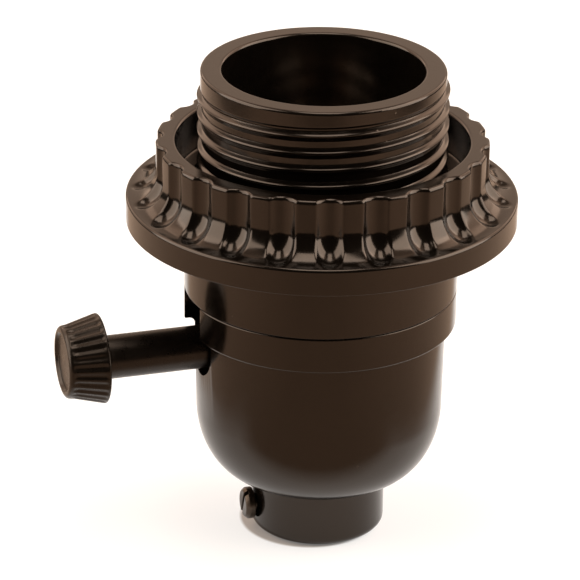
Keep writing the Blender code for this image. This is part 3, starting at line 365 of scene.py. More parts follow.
def phenolicMaterial(name, look):
    material, nodes, links, shader = newMaterial(name)
    place = nodes.new("ShaderNodeTexCoord").outputs["Object"]
    cloud = addNoise(nodes, links, place, *look["cloud"])
    cloudy = addRange(nodes, links, cloud, *look["cloudRange"], 0, 1)
    base = addMix(nodes, links, cloudy, look["dark"], look["light"])
    # dust lies in dots, and only where a broad noise is high
    dots = nodes.new("ShaderNodeTexVoronoi")
    dots.inputs["Scale"].default_value = look["dotScale"]
    links.new(place, dots.inputs["Vector"])
    dot = addRange(nodes, links, dots.outputs["Distance"], *look["dotRange"], 1, 0)
    rare = addNoise(nodes, links, place, *look["rare"])
    rarely = addRange(nodes, links, rare, *look["rareRange"], 0, 1)
    dusty = addMath(nodes, links, "MULTIPLY", dot, rarely)
    links.new(addMix(nodes, links, dusty, base, look["dust"]), shader.inputs["Base Color"])
    grain = addNoise(nodes, links, place, *look["grain"])
    rough = addRange(nodes, links, grain, *look["grainRange"], look["roughLow"], look["roughHigh"])
    links.new(rough, shader.inputs["Roughness"])
    ripple = addNoise(nodes, links, place, *look["ripple"])
    wave = addBump(nodes, links, ripple, look["bump"], look["rippleDepth"])
    fine = addBump(nodes, links, grain, look["bump"], look["grainDepth"], wave)
    links.new(fine, shader.inputs["Normal"])
    shader.inputs["IOR"].default_value = look["ior"]
    shader.inputs["Specular Tint"].default_value = look["tint"]
    return material


# each metal: bright colour, tarnished colour, least and greatest roughness
metals = {
    "turnedBrass": ((0.72, 0.49, 0.19, 1), (0.42, 0.27, 0.10, 1), 0.22, 0.42),
    "springBronze": ((0.70, 0.42, 0.22, 1), (0.46, 0.26, 0.13, 1), 0.24, 0.44),
    "zincSteel": ((0.60, 0.59, 0.56, 1), (0.36, 0.34, 0.31, 1), 0.26, 0.50),
    # this nickel is coloured far darker than real plating, painted shade that keeps the inside of
    # the lamp well dark
    "nickelPaintedShade": ((0.20, 0.18, 0.16, 1), (0.11, 0.10, 0.085, 1), 0.18, 0.30),
    # the set screw's steel is coloured dark brown
    "darkScrew": ((0.075, 0.058, 0.046, 1), (0.035, 0.026, 0.020, 1), 0.28, 0.45),
}
metalLook = {
    "tarnish": (260, 5, 0.5), "tarnishRange": (0.42, 0.72), "roughRange": (0.3, 0.75),
    "scratch": (1500, 3, 0.5), "scratchBump": 0.15, "scratchDepth": 0.00003,
}


def metalMaterial(name):
    bright, dull, roughLow, roughHigh = metals[name]
    material, nodes, links, shader = newMaterial(name)
    place = nodes.new("ShaderNodeTexCoord").outputs["Object"]
    tarnish = addNoise(nodes, links, place, *metalLook["tarnish"])
    patch = addRange(nodes, links, tarnish, *metalLook["tarnishRange"], 0, 1)
    links.new(addMix(nodes, links, patch, bright, dull), shader.inputs["Base Color"])
    links.new(addRange(nodes, links, tarnish, *metalLook["roughRange"], roughLow, roughHigh),
              shader.inputs["Roughness"])
    scratch = addNoise(nodes, links, place, *metalLook["scratch"])
    bump = addBump(nodes, links, scratch, metalLook["scratchBump"], metalLook["scratchDepth"])
    links.new(bump, shader.inputs["Normal"])
    shader.inputs["Metallic"].default_value = 1.0
    return material


print("materials")
moulding = phenolicMaterial("glossPhenolic", phenolic)
handled = phenolicMaterial("handledPhenolic", worn)
brass = metalMaterial("turnedBrass")
bronze = metalMaterial("springBronze")
steel = metalMaterial("zincSteel")
nickel = metalMaterial("nickelPaintedShade")
darkBrownSteel = metalMaterial("darkScrew")


shell = {
    "bottom": 40.38, "shoulder": 51.1, "top": 75.4,
    "skirt": 20.9, "cavity": 17.4, "ledge": 47.0, "well": 15.25, "cavityRound": 0.2,
    "rim": 18.5, "rimRound": 0.45, "edgeRound": 0.28, "seamRound": 0.12,
    "root": 18.25, "crest": 19.0, "pitch": 2.65,
    "crestAngle": -107.5, "crestHeight": 71.9, "flankAbove": 0.56, "flankBelow": 1.15,
    "rimEdge": 72.95, "rimBlend": 0.4, "fadeFrom": -180, "fadeTo": -125,
    "plainFrom": 74.6, "plainBlend": 0.35, "threadEnd": 52.2, "endBlend": 0.8,
    "shoulderInset": 0.3, "steps": 180, "samples": 26,
}


def smooth(value):
    value = np.clip(value, 0, 1)
    return value * value * (3 - 2 * value)


def shellSection(share):
    # a steep flank above the crest, a longer one below it and a flat root between
    above, below = share * shell["pitch"], (1 - share) * shell["pitch"]
    wave = 1 - smooth(above / shell["flankAbove"]) * smooth(below / shell["flankBelow"])
    return shell["root"] + (shell["crest"] - shell["root"]) * wave


def blendRim(radius, angle, height):
    # above the last turn the thread runs out into the plain rim
    turned = np.degrees(angle) - shell["crestAngle"]
    turned = (turned + 180) % 360 - 180
    edge = shell["rimEdge"] + shell["pitch"] * turned / 360
    own = smooth((height - edge) / shell["rimBlend"] + 0.5)
    nextTurn = smooth((height - edge - shell["pitch"]) / shell["rimBlend"] + 0.5)
    share = smooth((turned - shell["fadeFrom"]) / (shell["fadeTo"] - shell["fadeFrom"]))
    plain = own * share + nextTurn * (1 - share)
    plain = np.maximum(plain, smooth((height - shell["plainFrom"]) / shell["plainBlend"]))
    radius = radius * (1 - plain) + shell["rim"] * plain
    relief = smooth((shell["threadEnd"] - height) / shell["endBlend"] + 0.5)
    return radius * (1 - relief) + shell["root"] * relief, height


print("shell")
rimStart = shell["top"] - shell["rimRound"]
shellThread = {"pitch": shell["pitch"], "crest": shell["crestHeight"],
               "crestAngle": shell["crestAngle"], "section": shellSection, "steps": shell["steps"]}
threadedWall = threadWall("shellThread", shellThread, shell["shoulder"], rimStart - rimGap,
                          shell["samples"])
reshape(threadedWall, blendRim)
# the first three points only set up the rim's rounding, where the threaded wall takes over
plainOutline = [(shell["rim"], rimStart)]
plainOutline += rounded([(shell["rim"], shell["top"] - 3, 0),
                         (shell["rim"], shell["top"], shell["rimRound"]),
                         (shell["well"], shell["top"], shell["rimRound"]),
                         (shell["well"], shell["ledge"], 0),
                         (shell["cavity"], shell["ledge"], shell["cavityRound"]),
                         (shell["cavity"], shell["bottom"], shell["cavityRound"]),
                         (shell["skirt"], shell["bottom"], shell["seamRound"]),
                         (shell["skirt"], shell["shoulder"], shell["edgeRound"]),
                         (shell["crest"] + shell["shoulderInset"], shell["shoulder"], 0)])[3:]
plainWall = lathe("shellPlain", plainOutline, shell["steps"], False)
shellBody = weld("shellBody", plainWall, threadedWall, heights=(rimStart, shell["shoulder"]))
finishPiece(shellBody, moulding, "socket_body", "phenolic", "shell")


cap = {
    "top": 40.29, "band": 20.9, "bandBottom": 34.8, "bandCorner": 0.3, "bandRoot": 0.9,
    "upper": 19.3, "lower": 19.08, "domeTop": 20.8, "domeBottom": 9.4, "neckFillet": 1.0,
    "neck": 10.4, "neckRound": 1.1, "bore": 7.25, "boreCut": 12.6, "boreRound": 0.3,
    "floor": 12.3, "inside": 16.18, "topRound": 0.2, "innerRound": 0.2, "steps": 160,
    "postRadius": 3.6, "postBottom": 10.9, "postTop": 20.72, "postAt": 9.677,
    "insertHole": 2.6, "insertDepth": 6.3,
    "shaftAt": 31.9, "slotRadius": 4.5, "slotFrom": -40, "slotRise": 4, "slotSoft": 0.35,
    "screwHole": 1.7, "screwAt": 3.9, "screwReach": 20,
    "skin": 19.15, "slotBefore": -15, "slotBeside": 4.6, "slotLow": 27, "slotHigh": 40.1,
}
sideways = (0, math.pi / 2, 0)  # lays a tool along X


def quarter(centre, size, fromAngle, byAngle, steps, first=0):
    # points along an arc of an ellipse, in degrees
    points = []
    for step in range(first, steps + 1):
        angle = math.radians(fromAngle + byAngle * step / steps)
        points.append((centre[0] + size[0] * math.cos(angle),
                       centre[1] + size[1] * math.sin(angle)))
    return points


print("cap")
domeCentre = cap["neck"] + cap["neckFillet"]
outline = rounded([(cap["inside"], cap["top"], cap["innerRound"]),
                   (cap["band"], cap["top"], cap["topRound"]),
                   (cap["band"], cap["bandBottom"], cap["bandCorner"]),
                   (cap["upper"], cap["bandBottom"] - 0.001, cap["bandRoot"]),
                   (cap["upper"], 30, 0)])[:-1]
outline += quarter((domeCentre, cap["domeTop"]),
                   (cap["lower"] - domeCentre, cap["domeTop"] - cap["domeBottom"]), 0, -90, 22)
outline += quarter((domeCentre, cap["domeBottom"] - cap["neckFillet"]),
                   (cap["neckFillet"], cap["neckFillet"]), 90, 90, 6, 1)
outline += rounded([(cap["neck"], 5, 0), (cap["neck"], 0, cap["neckRound"]),
                    (cap["bore"], 0, cap["boreRound"]),
                    (cap["bore"], cap["floor"], cap["innerRound"]),
                    (cap["neck"], cap["floor"], 0)])[1:]
outline += quarter((cap["neck"], cap["domeTop"]),
                   (cap["inside"] - cap["neck"], cap["domeTop"] - cap["floor"]), -90, 90, 12, 1)
capBody = lathe("capBody", outline, cap["steps"])
for side in (-1, 1):
    middle = (0, side * cap["postAt"], (cap["postTop"] + cap["postBottom"]) / 2)
    combine(capBody, cylinderTool(cap["postRadius"], cap["postTop"] - cap["postBottom"], middle,
                                  vertices=48), "UNION")
combine(capBody, cylinderTool(cap["bore"], 2 * cap["boreCut"], (0, 0, 0)))
for side in (-1, 1):
    combine(capBody, cylinderTool(cap["insertHole"], 2 * cap["insertDepth"],
                                  (0, side * cap["postAt"], cap["postTop"]), vertices=48))
combine(capBody, cylinderTool(cap["screwHole"], cap["screwReach"],
                              (-cap["neck"], 0, cap["screwAt"]), sideways, 32))
# the stem's slot is a cylinder whose upper half is pulled straight up through the band
slotTool = cylinderTool(cap["slotRadius"], -cap["slotFrom"],
                        (cap["slotFrom"] / 2, 0, cap["shaftAt"]), sideways, 72)
edit(slotTool, False)
slotMesh = bmesh.from_edit_mesh(slotTool.data)
for vertex in slotMesh.verts:
    if vertex.co.z > cap["shaftAt"] * mm + tiny:
        central = abs(vertex.co.y) <= tiny
        vertex.co.y = 0 if central else math.copysign(cap["slotRadius"] * mm, vertex.co.y)
        vertex.co.z = (cap["top"] + cap["slotRise"]) * mm
bmesh.update_edit_mesh(slotTool.data)
done()
combine(capBody, slotTool)
settle(capBody)


def slotEdge(middle):
    # the slot's edge on the outer skin, below the joint with the shell
    outside = math.hypot(middle.x, middle.y) > cap["skin"] and middle.x < cap["slotBefore"]
    inside = cap["slotLow"] < middle.z < cap["slotHigh"]
    return outside and inside and abs(middle.y) < cap["slotBeside"]


softenEdges(capBody, cap["slotSoft"], 50, 3, slotEdge)
finishPiece(capBody, moulding, "socket_body", "phenolic", "cap")


ring = {
    "bottom": 51.4, "top": 64.3, "flange": 29.76, "flangeTop": 55.5, "flangeRound": 0.42,
    "underRound": 0.14, "collar": 25.2, "collarBore": 22.2, "topRound": 0.5, "fillet": 4.1,
    "bore": 19.3, "boreTop": 57.7, "boreRound": 0.4, "threadDepth": 0.7, "pitch": 2.65,
    "count": 23, "phase": -104.8, "toolRadius": 2.6, "cutDepth": 0.93, "dip": 0.34, "soft": 0.09,
    "floorFillet": 3.8, "sweep": 70, "stepsPerFlute": 34, "hold": 0.07,
    "collarSteps": 14, "filletSteps": 28, "threadInset": 0.2,
    "threadSteps": 120, "threadPower": 1.35,
}

print("shade ring")
# beside every outline point stands the way in which the flutes may push it
roundAt = ring["collar"] - ring["topRound"], ring["top"] - ring["topRound"]
outerLine = [(roundAt[0] - ring["hold"], ring["top"])]
outerLine += quarter(roundAt, (ring["topRound"], ring["topRound"]), 90, -90, 6)
topCount = len(outerLine)
push = [(-1, 0)] * topCount
filletTop = ring["flangeTop"] + ring["fillet"]
fall = filletTop - ring["top"] + ring["topRound"]
for step in range(1, ring["collarSteps"] + 1):
    height = ring["top"] - ring["topRound"] + fall * step / ring["collarSteps"]
    outerLine.append((ring["collar"], height))
    push.append((-1, 0))
for step in range(1, ring["filletSteps"] + 1):
    angle = math.radians(180 + 90 * step / ring["filletSteps"])
    outerLine.append((ring["collar"] + ring["fillet"] + ring["fillet"] * math.cos(angle),
                      filletTop + ring["fillet"] * math.sin(angle)))
    push.append((math.cos(angle), math.sin(angle)))
flatEnd = ring["flange"] - ring["flangeRound"]
outerLine.append((flatEnd, ring["flangeTop"]))
push.append((0, -1))
outerLine += quarter((flatEnd, ring["flangeTop"] - ring["flangeRound"]),
                     (ring["flangeRound"], ring["flangeRound"]), 90, -90, 5, 1)
outerLine.append((ring["flange"], ring["flangeTop"] - ring["flangeRound"] - ring["hold"]))
push += [(0, 0)] * (len(outerLine) - len(push))
outerPlaces, outerPush = np.array(outerLine), np.array(push)
threadStart = ring["bore"] + ring["threadDepth"] + ring["threadInset"]
innerLine = rounded([(ring["flange"], ring["bottom"] + 2, 0),
                     (ring["flange"], ring["bottom"], ring["underRound"]),
                     (threadStart, ring["bottom"], 0)])[1:]
upperLine = rounded([(threadStart, ring["boreTop"], 0),
                     (ring["collarBore"], ring["boreTop"], ring["boreRound"]),
                     (ring["collarBore"], ring["top"], ring["topRound"]),
                     (ring["collar"] - 1, ring["top"], 0)])[:-1]
ringWall = lathe("ringPlain", upperLine + outerLine + innerLine,
                 ring["count"] * ring["stepsPerFlute"], False)


def carveFlutes(radius, angle, height):
    # at every flute a ball-ended tool comes down outside the collar, then sweeps out over
    # the flange
    away = np.hypot(radius[:, None] - outerPlaces[:, 0], height[:, None] - outerPlaces[:, 1])
    nearest = np.argmin(away, axis=1)
    found = (away[np.arange(len(radius)), nearest] < 0.01)[:, None]
    wayR, wayZ = (outerPush[nearest] * found).T
    # the top rounding keeps its form and moves in with the flute
    upper = found[:, 0] & (nearest < topCount)
    startRadius = np.where(upper, ring["collar"], radius)
    startHeight = np.where(upper, ring["top"] - ring["topRound"], height)
    spacing = 2 * math.pi / ring["count"]
    turned = (angle - math.radians(ring["phase"]) + spacing / 2) % spacing - spacing / 2
    axis = ring["collar"] - ring["cutDepth"] + ring["toolRadius"]
    bend = ring["floorFillet"] - ring["toolRadius"]
    bendHeight = ring["flangeTop"] - ring["dip"] + ring["floorFillet"]

    def inTool(travel):
        # above zero while a point that has gone this far is still inside the tool
        r, z = startRadius + wayR * travel, startHeight + wayZ * travel
        out, aside = r * np.cos(turned), r * np.sin(turned)
        swing = np.arctan2(bendHeight - z, axis + bend - out)
        swing = np.clip(swing, 0, math.radians(ring["sweep"]))
        bending = z < bendHeight
        pathOut = np.where(bending, axis + bend - bend * np.cos(swing), axis)
        pathHeight = np.where(bending, bendHeight - bend * np.sin(swing), z)
        off = np.sqrt((out - pathOut) ** 2 + aside ** 2 + (z - pathHeight) ** 2)
        tool = ring["toolRadius"] - off
        return 0.5 * (tool - travel + np.sqrt((tool + travel) ** 2 + ring["soft"] ** 2))

    # halving finds how far each point is pushed
    near, far = np.full_like(radius, -0.1), np.full_like(radius, ring["toolRadius"])
    for halving in range(26):
        middle = (near + far) / 2
        inside = inTool(middle) > 0
        near = np.where(inside, middle, near)
        far = np.where(inside, far, middle)
    travel = np.where((wayR == 0) & (wayZ == 0), 0, (near + far) / 2)
    return radius + wayR * travel, height + wayZ * travel


reshape(ringWall, carveFlutes)


def ringSection(share):
    wave = (0.5 + 0.5 * math.cos(2 * math.pi * share)) ** ring["threadPower"]
    return ring["bore"] + ring["threadDepth"] * wave


ringThread = {"pitch": ring["pitch"], "crest": shell["crestHeight"],
              "crestAngle": shell["crestAngle"], "section": ringSection,
              "steps": ring["threadSteps"]}
boreWall = threadWall("ringThread", ringThread, ring["bottom"], ring["boreTop"], 10)
ringBody = weld("ringBody", ringWall, boreWall, heights=(ring["bottom"], ring["boreTop"]))
finishPiece(ringBody, moulding, "ring", "phenolic", "shade_ring")


knob = {
    "reach": 40.85, "headBack": 34.7, "big": 6.9, "small": 5.5, "smallRound": 0.75,
    "lip": 0.40, "lipRound": 0.25, "dish": 0.45, "dishRadius": 4.6, "dishWall": 0.35,
    "dishRound": 0.3, "dishEdge": 0.18,
    "taper": (0.16, 0.84), "taperAlong": (0.24, 0.76),  # share at the front, share from there on
    "stem": 3.35, "stemEnd": 8.4, "stemRound": 0.2, "bore": 2.55, "boreRound": 0.1, "boreEnd": 24.2,
    "backFillet": 0.5, "flutes": 28, "fluteDepth": 0.21, "stepsPerFlute": 10, "sideSteps": 14,
    "fluteStart": 0.5, "fluteEnd": 1.1, "fluteStop": 0.3, "fluteClear": 0.8,
}

print("knob")
back, front = knob["headBack"], knob["reach"]
corners = [(0, front - knob["dish"], 0),
           (knob["dishRadius"] - knob["dishWall"], front - knob["dish"], knob["dishRound"]),
           (knob["dishRadius"], front, knob["dishEdge"]),
           (knob["small"] + 0.05, front, knob["smallRound"])]
side = []
for step in range(knob["sideSteps"] + 1):
    share = step / knob["sideSteps"]
    side.append((knob["small"] + (knob["big"] - knob["small"])
                 * (knob["taper"][0] + knob["taper"][1] * share),
                 front - (front - back - knob["lip"])
                 * (knob["taperAlong"][0] + knob["taperAlong"][1] * share)))
tail = [(knob["big"], back, knob["lipRound"]), (knob["stem"], back, knob["backFillet"]),
        (knob["stem"], knob["stemEnd"], knob["stemRound"]),
        (knob["bore"], knob["stemEnd"], knob["boreRound"]),
        (knob["bore"], knob["boreEnd"], 0), (0, knob["boreEnd"], 0)]
first = rounded(corners + [(*side[0], 0)], 7)[:-1]
last = rounded([(*side[-1], 0)] + tail, 5)[1:]
knobBody = lathe("knobBody", first + side + last, knob["flutes"] * knob["stepsPerFlute"], False)


def carveKnob(radius, angle, height):
    # the flutes fade out at the lip and before the front's rounding
    spacing = 2 * math.pi / knob["flutes"]
    turned = ((angle + spacing / 2) % spacing) / spacing - 0.5
    groove = 0.5 + 0.5 * np.cos(2 * math.pi * turned)
    along = smooth((height - back - knob["lip"] * 0.6) / knob["fluteStart"])
    along = along * smooth((front - knob["fluteStop"] - height) / knob["fluteEnd"])
    skin = radius > knob["stem"] + knob["fluteClear"]
    return radius - np.where(skin, groove * along * knob["fluteDepth"], 0), height


reshape(knobBody, carveKnob)
only(knobBody)
knobBody.matrix_world = (Matrix.Translation((0, 0, cap["shaftAt"] * mm))
                         @ Matrix.Rotation(-math.pi / 2, 4, "Y"))
applyPlace(knobBody)
finishPiece(knobBody, handled, "rotor", "phenolic", "knob")


lampShell = {
    "outer": 13.8, "groove": 12.95, "wall": 0.4, "pitch": 3.63, "bottom": 47.0, "top": 63.0,
    "lip": 14.95, "lipThick": 0.6, "hole": 6.2, "threadLow": 49.6, "threadHigh": 61.4,
    "crestAt": 55, "endLength": 1.4, "endBlend": 1.2, "footRound": 0.5, "smallRound": 0.2,
    "innerRound": 0.3, "steps": 96, "screwHole": 1.7, "rivetHole": 1.2,
    "rivetsAt": ((10.998, -3.689), (-10.998, 3.689)), "cutDepth": 4,
}


def rolledSection(offset):
    middle = (lampShell["outer"] + lampShell["groove"]) / 2
    swing = (lampShell["outer"] - lampShell["groove"]) / 2
    return lambda share: middle + offset + swing * math.cos(2 * math.pi * share)


print("lamp screw shell")
low, high = lampShell["threadLow"], lampShell["threadHigh"]
outer, inner = lampShell["outer"], lampShell["outer"] - lampShell["wall"]
walls = []
for offset in (0, -lampShell["wall"]):
    rolled = {"pitch": lampShell["pitch"], "crest": lampShell["crestAt"], "crestAngle": 0,
              "section": rolledSection(offset), "steps": lampShell["steps"]}
    wall = threadWall("rolledWall", rolled, low, high, 12)

    def evenEnds(radius, angle, height, straight=outer + offset):
        # the thread turns into a plain tube at both ends
        plain = np.maximum(smooth((low + lampShell["endLength"] - height) / lampShell["endBlend"]),
                           smooth((height - high + lampShell["endLength"]) / lampShell["endBlend"]))
        return radius * (1 - plain) + straight * plain, height

    reshape(wall, evenEnds)
    walls.append(wall)
floorTop = lampShell["bottom"] + lampShell["wall"]
lipBottom = lampShell["top"] - lampShell["lipThick"]
cup = lathe("cup", rounded([(outer, low - rimGap, 0),
                            (outer, lampShell["bottom"], lampShell["footRound"]),
                            (lampShell["hole"], lampShell["bottom"], 0),
                            (lampShell["hole"], floorTop, 0),
                            (inner, floorTop, lampShell["innerRound"]), (inner, low - rimGap, 0)]),
            lampShell["steps"], False)
mouth = lathe("mouth", rounded([(inner, high + rimGap, 0),
                                (inner, lampShell["top"], lampShell["innerRound"]),
                                (lampShell["lip"], lampShell["top"], lampShell["smallRound"]),
                                (lampShell["lip"], lipBottom, lampShell["smallRound"]),
                                (outer, lipBottom, lampShell["smallRound"]),
                                (outer, high + rimGap, 0)]),
              lampShell["steps"], False)
lampScrewShell = joined("lampScrewShell", cup, mouth, *walls)
halfWall = (outer + inner) / 2
for height in (low, high):
    bridgeRims(lampScrewShell, height, inner=halfWall)
    bridgeRims(lampScrewShell, height, outer=halfWall)
settle(lampScrewShell)
for side in (-1, 1):
    spot = (0, side * cap["postAt"], lampShell["bottom"])
    combine(lampScrewShell, cylinderTool(lampShell["screwHole"], lampShell["cutDepth"], spot,
                                         vertices=40))
for place in lampShell["rivetsAt"]:
    combine(lampScrewShell, cylinderTool(lampShell["rivetHole"], lampShell["cutDepth"],
                                         (*place, lampShell["bottom"]), vertices=32))
finishPiece(lampScrewShell, nickel, "socket_body", "nickel", "screw_shell")


neckScrew = {
    "head": 2.5, "height": 1.5, "crown": 0.82, "edge": 0.62, "crownRound": 0.35, "underRound": 0.15,
    "seat": 10.7, "shank": 1.4, "shankRound": 0.1, "length": 5.6, "tip": 0.6, "tipRound": 0.3,
    "slot": 0.75, "slotDepth": 0.75, "slotSoft": 0.09, "slotReach": 4, "turn": 68, "steps": 64,
}

print("neck screw")
shape = [(0, neckScrew["height"], 0),
         (neckScrew["head"] * neckScrew["crown"], neckScrew["height"], neckScrew["crownRound"]),
         (neckScrew["head"], neckScrew["height"] * neckScrew["edge"], neckScrew["crownRound"]),
         (neckScrew["head"], 0, neckScrew["underRound"]),
         (neckScrew["shank"], 0, neckScrew["shankRound"]),
         (neckScrew["shank"], -neckScrew["length"] + neckScrew["tip"], neckScrew["tipRound"]),
         (neckScrew["shank"] - neckScrew["tip"], -neckScrew["length"], 0),
         (0, -neckScrew["length"], 0)]
neckScrewBody = lathe("neckScrew", rounded(shape, 4), neckScrew["steps"], False)
slotBar = blockTool((-neckScrew["slot"] / 2, -neckScrew["slotReach"],
                     neckScrew["height"] - neckScrew["slotDepth"]),
                    (neckScrew["slot"] / 2, neckScrew["slotReach"], neckScrew["height"] + 1))
combine(neckScrewBody, slotBar)
softenEdges(neckScrewBody, neckScrew["slotSoft"], 50, 2,
            lambda middle: abs(middle.x) < neckScrew["slot"] / 2 + 0.05 and middle.z > 0.3)
neckScrewBody.matrix_world = (Matrix.Translation((-neckScrew["seat"] * mm, 0, cap["screwAt"] * mm))
                              @ Matrix.Rotation(-math.pi / 2, 4, "Y")
                              @ Matrix.Rotation(math.radians(neckScrew["turn"]), 4, "Z"))
applyPlace(neckScrewBody)
finishPiece(neckScrewBody, darkBrownSteel, "socket_body", "plated_steel", "set_screw")


sleeve = {
    "outer": 6.95, "bore": 4.75, "depth": 0.32, "low": 0.5, "high": 12.3, "pitch": 0.94,
    "lead": 0.6, "entry": 0.1, "chamfer": 0.3, "chamferRound": 0.1, "edgeRound": 0.4, "steps": 72,
    "crestAt": 3,
}

print("pipe sleeve")


def sleeveSection(share):
    return sleeve["bore"] + sleeve["depth"] * abs(2 * share - 1)


pipeThread = {"pitch": sleeve["pitch"], "crest": sleeve["crestAt"], "crestAngle": 0,
              "section": sleeveSection, "steps": sleeve["steps"]}
sleeveLow, sleeveHigh = sleeve["low"] + sleeve["lead"], sleeve["high"] - sleeve["lead"]
sleeveWall = threadWall("sleeveThread", pipeThread, sleeveLow, sleeveHigh, 4)
entry = sleeve["bore"] + sleeve["depth"] + sleeve["entry"]
flare = entry + sleeve["chamfer"]
sleeveOutline = rounded([(entry, sleeveHigh, 0), (flare, sleeve["high"], sleeve["chamferRound"]),
                         (sleeve["outer"], sleeve["high"], sleeve["edgeRound"]),
                         (sleeve["outer"], sleeve["low"], sleeve["edgeRound"]),
                         (flare, sleeve["low"], sleeve["chamferRound"]), (entry, sleeveLow, 0)])
sleeveOutside = lathe("sleeveOutside", sleeveOutline, sleeve["steps"], False)
pipeSleeve = weld("pipeSleeve", sleeveOutside, sleeveWall, heights=(sleeveLow, sleeveHigh))
combine(pipeSleeve, cylinderTool(cap["screwHole"], cap["screwReach"],
                                 (-cap["neck"], 0, cap["screwAt"]), sideways, 32))
finishPiece(pipeSleeve, steel, "socket_body", "plated_steel", "pipe_bushing")


print("finishes of the inner pieces")
finishes = {
    "brass": brass, "phosphor_bronze": bronze, "plated_steel": steel, "nickel": nickel,
    "phenolic": moulding,
}
slotOf = {entry["node"]: entry["material_slot"] for entry in frame["record"]["subparts"]}
for name, thing in frame["nodes"].items():
    thing.data.materials.clear()
    thing.data.materials.append(finishes[slotOf[name]])


stage = {
    "sheet": (0.42, 0.42, 0.42, 1), "glow": 0.60,
    "table": (0.34, 0.275, 0.225, 1), "tableSide": (0.50, 0.405, 0.335, 1),
    "sideFrom": 0.03, "sideTo": 0.13, "rough": 0.9, "below": 0.0002,
    # the settings on the line below place a painted contact shadow, a soft disc at the bottom of
    # the neck where the white sheet gives way to the darker table
    "paintedShadowRadius": 0.0104, "paintedShadowCentre": (-0.0014, 0.0004), "paintedShadowSoft": 0.0006, "sheetInPaintedShadow": 0.22,
    "front": 0.23, "behind": 1.0, "side": 0.20,
    "sheetFront": 0.0215, "sheetSide": 0.048, "sheetShift": 0.003,
    "sheetBlend": 0.013, "sheetFlare": 0.10,
    "world": (0.050, 0.042, 0.034, 1), "worldStrength": 1.0,
    "camera": (-148.4, -470.7, 260.9), "pan": -0.543, "tilt": 24.208, "roll": 0.672,
    "azimuth": -17.5, "lens": 3521.9 / 580 * 36, "sensor": 36, "clip": (0.01, 10), "lampAim": 0.04,
}

print("stage")
bpy.ops.object.select_all(action="DESELECT")
bpy.ops.mesh.primitive_plane_add(size=2, location=(0, 0, -stage["below"]))
table = bpy.context.object
table.name = table.data.name = "table"
edit(table)
bpy.ops.transform.resize(value=(stage["side"], (stage["front"] + stage["behind"]) / 2, 1))
bpy.ops.transform.translate(value=(0, (stage["behind"] - stage["front"]) / 2, 0))
done()
table.rotation_euler.z = math.radians(stage["azimuth"])


def sheetMaterial():
    # a white sheet lies under the lamp holder and runs back; the table round it is warm and darker
    material, nodes, links, shader = newMaterial("sheetOnTable")
    place = nodes.new("ShaderNodeTexCoord").outputs["Object"]
    split = nodes.new("ShaderNodeSeparateXYZ")
    links.new(place, split.inputs["Vector"])
    shifted = addMath(nodes, links, "ADD", split.outputs["X"], stage["sheetShift"])
    aside = addMath(nodes, links, "ABSOLUTE", shifted)
    flared = addMath(nodes, links, "MULTIPLY_ADD", split.outputs["Y"], -stage["sheetFlare"], aside)
    across = addRange(nodes, links, flared, stage["sheetSide"],
                      stage["sheetSide"] + stage["sheetBlend"], 1, 0)
    along = addRange(nodes, links, split.outputs["Y"], -stage["sheetFront"] - stage["sheetBlend"],
                     -stage["sheetFront"], 0, 1)
    whole = addMath(nodes, links, "MULTIPLY", across, along)
    # painted shadow: in a soft disc at the bottom of the neck the sheet fades to the darker table
    # and its glow drops with it, a painted contact shadow
    paintedShadowDistance = nodes.new("ShaderNodeVectorMath")
    paintedShadowDistance.operation = "DISTANCE"
    links.new(place, paintedShadowDistance.inputs[0])
    paintedShadowDistance.inputs[1].default_value = (*stage["paintedShadowCentre"], 0)
    clear = addRange(nodes, links, paintedShadowDistance.outputs["Value"], stage["paintedShadowRadius"],
                     stage["paintedShadowRadius"] + stage["paintedShadowSoft"], stage["sheetInPaintedShadow"], 1)
    sheet = addMath(nodes, links, "MULTIPLY", whole, clear)
    outward = addRange(nodes, links, aside, stage["sideFrom"], stage["sideTo"], 0, 1)
    wood = addMix(nodes, links, outward, stage["table"], stage["tableSide"])
    links.new(addMix(nodes, links, sheet, wood, stage["sheet"]), shader.inputs["Base Color"])
    shader.inputs["Roughness"].default_value = stage["rough"]
    shader.inputs["Specular IOR Level"].default_value = 0.0
    # it glows for the camera, for mirrors and for glass, so that it stays white in all three
    rays = nodes.new("ShaderNodeLightPath").outputs
    lit = addMath(nodes, links, "MULTIPLY", sheet, rays["Is Camera Ray"])
    for ray in ("Is Glossy Ray", "Is Transmission Ray"):
        seen = addMath(nodes, links, "MULTIPLY", sheet, rays[ray])
        lit = addMath(nodes, links, "MAXIMUM", lit, seen)
    shader.inputs["Emission Color"].default_value = (1, 1, 1, 1)
    glow = addRange(nodes, links, lit, 0, 1, 0, stage["glow"])
    links.new(glow, shader.inputs["Emission Strength"])
    return material


table.data.materials.append(sheetMaterial())

world = bpy.data.worlds.new("studio")
bpy.context.scene.world = world
world.use_nodes = True
world.node_tree.nodes["Background"].inputs["Color"].default_value = stage["world"]
world.node_tree.nodes["Background"].inputs["Strength"].default_value = stage["worldStrength"]

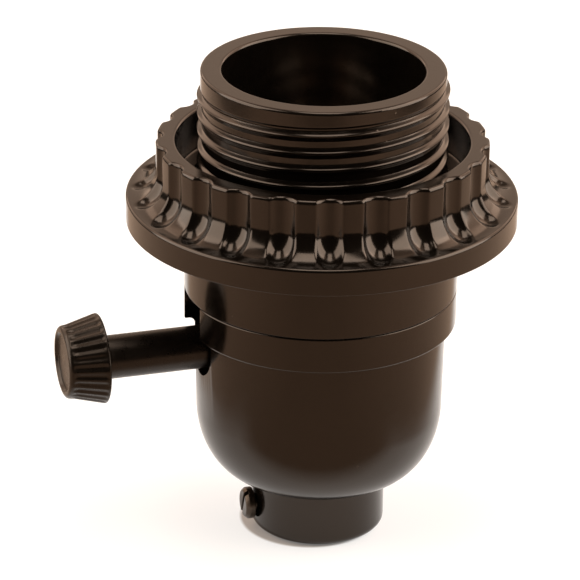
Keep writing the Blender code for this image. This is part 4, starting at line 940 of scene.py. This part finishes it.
# name, distance, azimuth from the camera (right positive), elevation, width, height,
# brightness, colour
lampColour, cardColour = (1.0, 0.90, 0.80), (1.0, 0.72, 0.54)
softBoxes = [
    ("leftBox", 0.78, -82, 27, 0.78, 1.02, 4.0, lampColour),
    ("rightBox", 0.78, 82, 27, 0.78, 1.02, 4.9, lampColour),
    ("leftCard", 0.85, -130, 26, 0.66, 0.80, 1.3, cardColour),
    ("rightCard", 0.85, 130, 26, 0.66, 0.80, 1.7, cardColour),
    ("overheadBox", 0.80, 0, 87, 0.31, 0.60, 4.5, lampColour),
    ("backPanel", 0.80, 180, 25, 1.20, 0.62, 0.85, cardColour),
    ("backFill", 0.85, 180, 57, 1.40, 0.40, 0.35, cardColour),
    ("leftFill", 0.90, -115, 58, 0.70, 0.50, 0.5, cardColour),
    ("rightFill", 0.90, 115, 58, 0.70, 0.50, 0.6, cardColour),
]
for name, distance, azimuth, elevation, width, height, brightness, colour in softBoxes:
    light = bpy.data.lights.new(name, "AREA")
    light.shape = "RECTANGLE"
    light.size, light.size_y = width, height
    light.energy = brightness * math.pi * width * height
    light.color = colour
    lamp = bpy.data.objects.new(name, light)
    bpy.context.scene.collection.objects.link(lamp)
    turn = math.radians(stage["azimuth"] + azimuth)
    rise = math.radians(elevation)
    toward = Vector((math.sin(turn) * math.cos(rise), -math.cos(turn) * math.cos(rise),
                     math.sin(rise)))
    lamp.location = toward * distance + Vector((0, 0, stage["lampAim"]))
    lamp.rotation_mode = "QUATERNION"
    lamp.rotation_quaternion = toward.to_track_quat("Z", "Y")

pan, tilt, roll = (math.radians(stage[key]) for key in ("pan", "tilt", "roll"))
ahead = Vector((math.sin(pan) * math.cos(tilt), math.cos(pan) * math.cos(tilt), -math.sin(tilt)))
level = Vector((math.cos(pan), -math.sin(pan), 0))
upward = level.cross(ahead)
right = level * math.cos(roll) + upward * math.sin(roll)
upward = upward * math.cos(roll) - level * math.sin(roll)
aim = Matrix((right, upward, -ahead)).transposed().to_4x4()
cameraData = bpy.data.cameras.new("camera")
cameraData.sensor_width = stage["sensor"]
cameraData.lens = stage["lens"]
cameraData.clip_start, cameraData.clip_end = stage["clip"]
camera = bpy.data.objects.new("camera", cameraData)
bpy.context.scene.collection.objects.link(camera)
camera.matrix_world = (Matrix.Translation([value * mm for value in stage["camera"]])
                       @ Matrix.Rotation(math.radians(stage["azimuth"]), 4, "Z") @ aim)
bpy.context.scene.camera = camera
bpy.context.scene.view_settings.view_transform = "Standard"

print("done")
